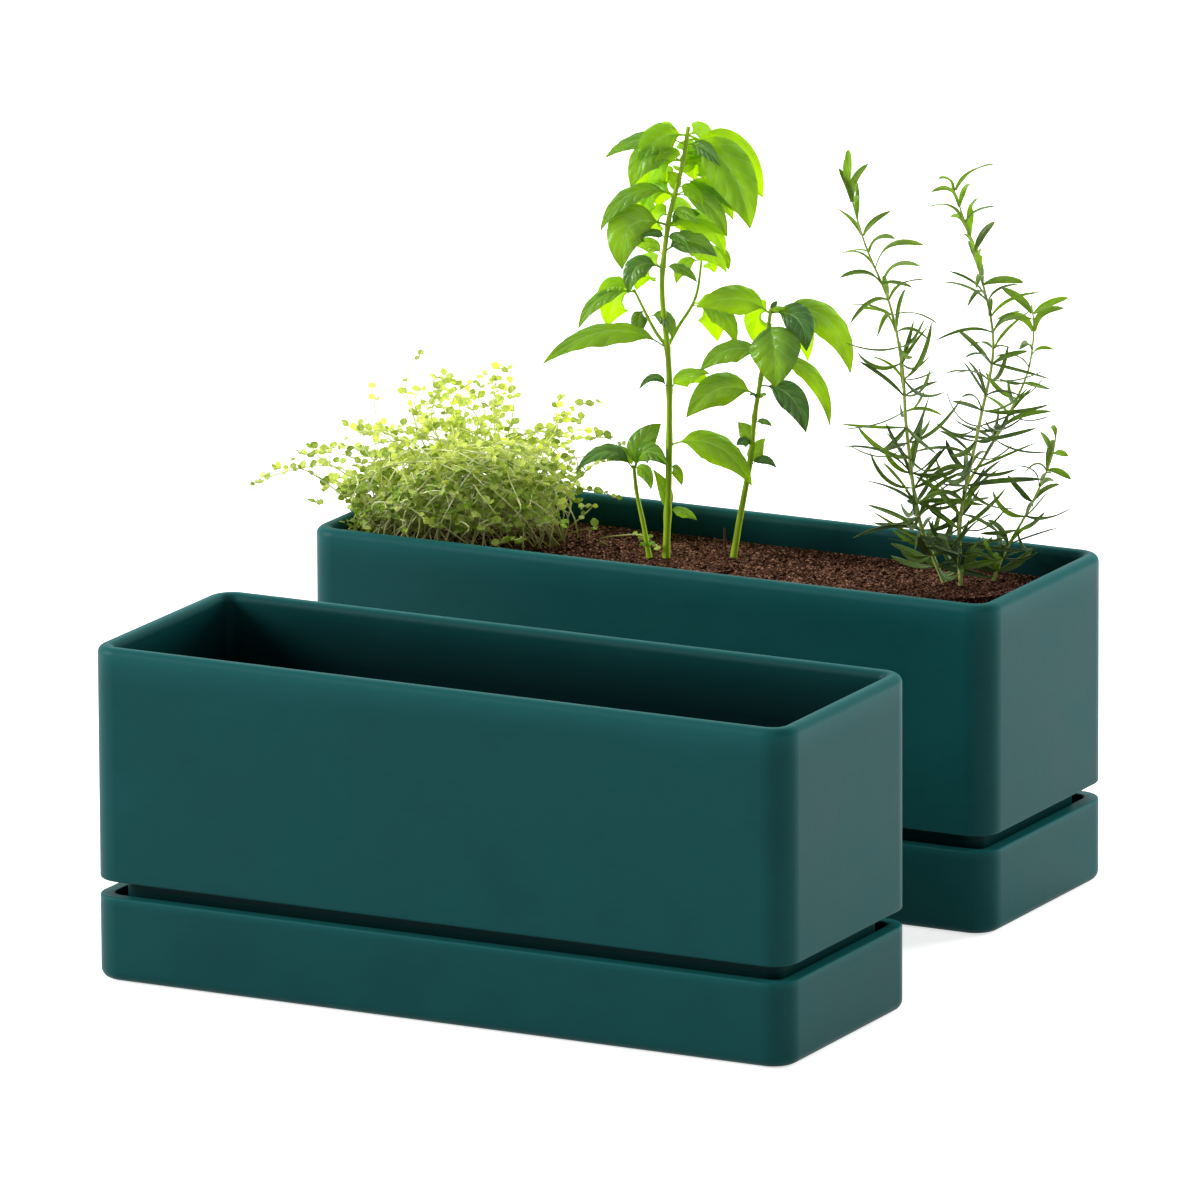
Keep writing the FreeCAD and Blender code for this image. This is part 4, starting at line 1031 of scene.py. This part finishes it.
# Tufts that stand out of the cushion, and strays over the pot's end and over the soil: where the tip
# is from the crown in millimetres (across, up, away), and how many stems go there
TUFTS = [
    (-9, 76, -5, 1), (-6, 67, -4, 6), (-8, 58, 0, 4), (16, 68, -5, 5), (18, 58, -3, 4), (43, 56, 0, 2),
    (52, 44, 4, 2), (66, 40, 0, 1), (60, 52, 0, 1),
    (-43, 46, 0, 2), (-53, 34, 2, 3), (-69, 30, 0, 2), (-83, 19, 0, 2), (-73, 17, 6, 1), (-57, 16, -6, 2),
    (-35, 58, 0, 1), (60, 30, -6, 2), (79, 5, -22, 1), (66, 14, -12, 1), (54, 5, -20, 1), (-41, 12, -14, 4),
    (-33, 14, -24, 4), (-45, 14, 6, 5), (-51, 15, 16, 4), (-39, 12, 22, 4), (-21, 14, -30, 4),
    (-1, 12, -34, 4), (21, 12, -34, 4), (38, 9, -30, 3)]
chance = random.Random(5)
tips = []
for k in range(STEM_COUNT):
    angle = radians(360 * 0.618034 * k)
    out_share = sqrt((k + 0.5) / STEM_COUNT)
    out = ACROSS * cos(angle) + AWAY * (0.72 * sin(angle))
    rise = sqrt(1.0 - 0.6 * out_share ** 2) * RISE * chance.uniform(0.2, 1.0)
    far = out_share * REACH * chance.uniform(0.75, 1.1) * MM
    tips.append((out * (out_share * CROWN * MM), out * far, rise))
for k in range(TANGLE):
    start = chance.uniform(0, 2 * pi)
    finish = start + chance.uniform(1.2, 4.4)
    foot = ACROSS * (CROWN * cos(start) * MM) + AWAY * (CROWN * (0.5 * sin(start) - 0.3) * MM)
    tip = ACROSS * (REACH * 0.9 * cos(finish) * MM)
    tip += AWAY * (CROWN * (0.6 * sin(finish) - 0.35) * MM)
    tips.append((foot, tip, chance.uniform(8, 44)))
for across, up, away, count in TUFTS:
    for k in range(count):
        tip = shift(0, across + chance.uniform(-4, 4), away + chance.uniform(-6, 6))
        tips.append((tip * (0.35 if up > 15 else 0.75), tip, up + chance.uniform(-6, 4)))
print("thyme stems:", len(tips))

# %% Thyme stems and leaves
# Feet keep this far inside the soil's edge, and so do the tips of stems that stay below the rim.
EDGE = 3 * MM
LOW_RISE = 14
tiny_points = read_points(tiny)
threads = []
grown = []
for k, (foot, tip, rise) in enumerate(tips):
    foot = thyme + foot + LEAN
    foot.x = max(foot.x, soil_low.x + EDGE)
    foot.y = min(max(foot.y, soil_low.y + EDGE), soil_high.y - EDGE)
    tip = thyme + tip + LEAN + UP * (rise * MM)
    if rise < LOW_RISE and tip.x < thyme.x:
        tip.x = max(tip.x, soil_low.x + EDGE)
    bend = shift(0, chance.uniform(-15, 15), chance.uniform(-12, 12))
    run = (tip - foot) - UP * (tip - foot).z
    arch = 0.35 * run.length / MM * max(0, 1 - rise / 60)
    wander = shift(0.36 * rise + arch * 0.4, chance.uniform(-7, 7), chance.uniform(-5, 5))
    line = Line([
        foot, foot + run * 0.12 + wander + bend * 0.4,
        foot + run * 0.5 + shift(0.78 * rise + arch, 0, 0) + bend,
        foot + run * 0.8 + shift(0.97 * rise + arch * 0.6, 0, 0) + bend * 0.3, tip])
    threads.append((line, [(0, 0.32), (0.7, 0.32), (1, 0.2)]))
    bareness = 0.8 if STEM_COUNT <= k < STEM_COUNT + TANGLE else 0.6
    pairs = int(line.reach[-1] * 0.75 / (5.0 * MM))
    for j in range(pairs):
        share = 0.2 + 0.8 * (j + 0.9) / pairs
        if chance.random() < bareness - 0.5 * share:
            continue
        for side in (0, 180):
            heading = 40 * k + 90 * j + side + chance.uniform(-30, 30)
            length = chance.uniform(2.2, 4.2) * MM
            angle = radians(chance.uniform(-20, 50))
            run = facing(heading) * cos(angle) + UP * sin(angle)
            place = line.at(min(share, 1))[0] + facing(heading) * (0.2 * MM)
            points = grow_leaf(
                tiny_points, place, run * length, 0.06 * length, length * 0.84,
                chance.uniform(0, 90), fold=0.2, cup=0.2, twist=chance.uniform(-40, 40))
            # Leaves higher up are younger and paler, and those low in the cushion are darker: partly real new
            # growth at the tips, partly painted shade inside the cushion.
            young_and_lit = 8 * min(1, (place.z - thyme.z) / (RISE * MM))
            grown.append((points, min(9, max(0, int(young_and_lit + chance.uniform(-5, 5))))))
settle(tube("threads", threads, 0), "thyme_threads", "thyme_stem", "thyme_stems")
sprays = gather("sprays", tiny, *zip(*grown))
thicken(sprays, 0.25)
settle(sprays, "thyme_sprays", "thyme_leaf", "thyme_leaves")
for master in (broad, narrow, tiny):
    bpy.data.objects.remove(master)

# %% [markdown]
# ## Light and floor
# The photograph has a plain white ground. The floor is pale, and to the camera it gets just enough
# glow of its own to read as white away from the pots, while their contact shadow stays. The world
# is white to the camera and in reflections, and dimmer as a light. Three broad lamps stand around
# the pots: one at the left front for the long faces, one at the right rear for the end faces and
# one behind for the glow in the leaves. The two behind don't show in the glaze, because there they
# would draw white lines along the rims.

# %% Floor
FLOOR_GREY = (0.82, 0.82, 0.82, 1)
FLOOR_GLOW = 0.68


def seen_rays(tree):
    """1 for rays from the camera, straight, mirrored or through something clear, and 0 for light."""
    path = add_node(tree, "LightPath").outputs
    mirrored = calculate("MAXIMUM", path["Is Glossy Ray"], path["Is Transmission Ray"])
    return calculate("MAXIMUM", path["Is Camera Ray"], mirrored)


bpy.ops.mesh.primitive_plane_add(size=16, location=(0, 0, -0.0002))
floor = bpy.context.object
floor.name = "floor"
floor_look, tree, shader, _ = new_material("pale_floor")
shader.inputs["Base Color"].default_value = FLOOR_GREY
shader.inputs["Roughness"].default_value = 0.9
shader.inputs["Specular IOR Level"].default_value = 0.0
glow = calculate("MULTIPLY", seen_rays(tree), FLOOR_GLOW)
own = add_node(tree, "Emission", Color=(1, 1, 1, 1), Strength=glow)
join_shaders(add_node(tree, "AddShader"), shader, own)
floor.data.materials.append(floor_look)
print("floor glow", FLOOR_GLOW)

# %% World
WORLD_LIGHT = 0.33
world = bpy.data.worlds.new("studio")
bpy.context.scene.world = world
world.use_nodes = True
tree = world.node_tree
soft = add_node(tree, "Background", Color=(1, 1, 1, 1), Strength=WORLD_LIGHT)
white = add_node(tree, "Background", Color=(1, 1, 1, 1), Strength=1.0)
join_shaders(add_node(tree, "MixShader", Fac=seen_rays(tree)), soft, white, "World Output")
print("world:", world.name)


# %% Lamps
def soft_lamp(name, place, aim, size, power):
    """A square soft box that faces a point."""
    bpy.ops.object.light_add(type="AREA", location=place)
    lamp = bpy.context.object
    lamp.name = name
    lamp.data.shape = "SQUARE"
    lamp.data.size = size
    lamp.data.energy = power
    lamp.rotation_euler = (Vector(aim) - Vector(place)).to_track_quat("-Z", "Y").to_euler()
    return lamp


soft_lamp("left_soft_box", (-2.6, -1.5, 1.5), (0, 0.0, 0.1), 1.1, 92)
beside = soft_lamp("right_soft_box", (1.3, 2.3, 0.8), (0.1, 0.1, 0.1), 1.0, 62)
behind = soft_lamp("back_soft_box", (-0.6, 1.8, 1.6), (-0.05, 0.2, 0.2), 1.2, 52)
for lamp in (beside, behind):
    lamp.visible_glossy = False
    print(lamp.name, round(lamp.data.energy), "W, not seen in reflections")

# %% Look settings and sizes
bpy.context.scene.view_settings.view_transform = "Standard"
print("CAD box", [[round(v, 4) for v in corner] for corner in cad_box])
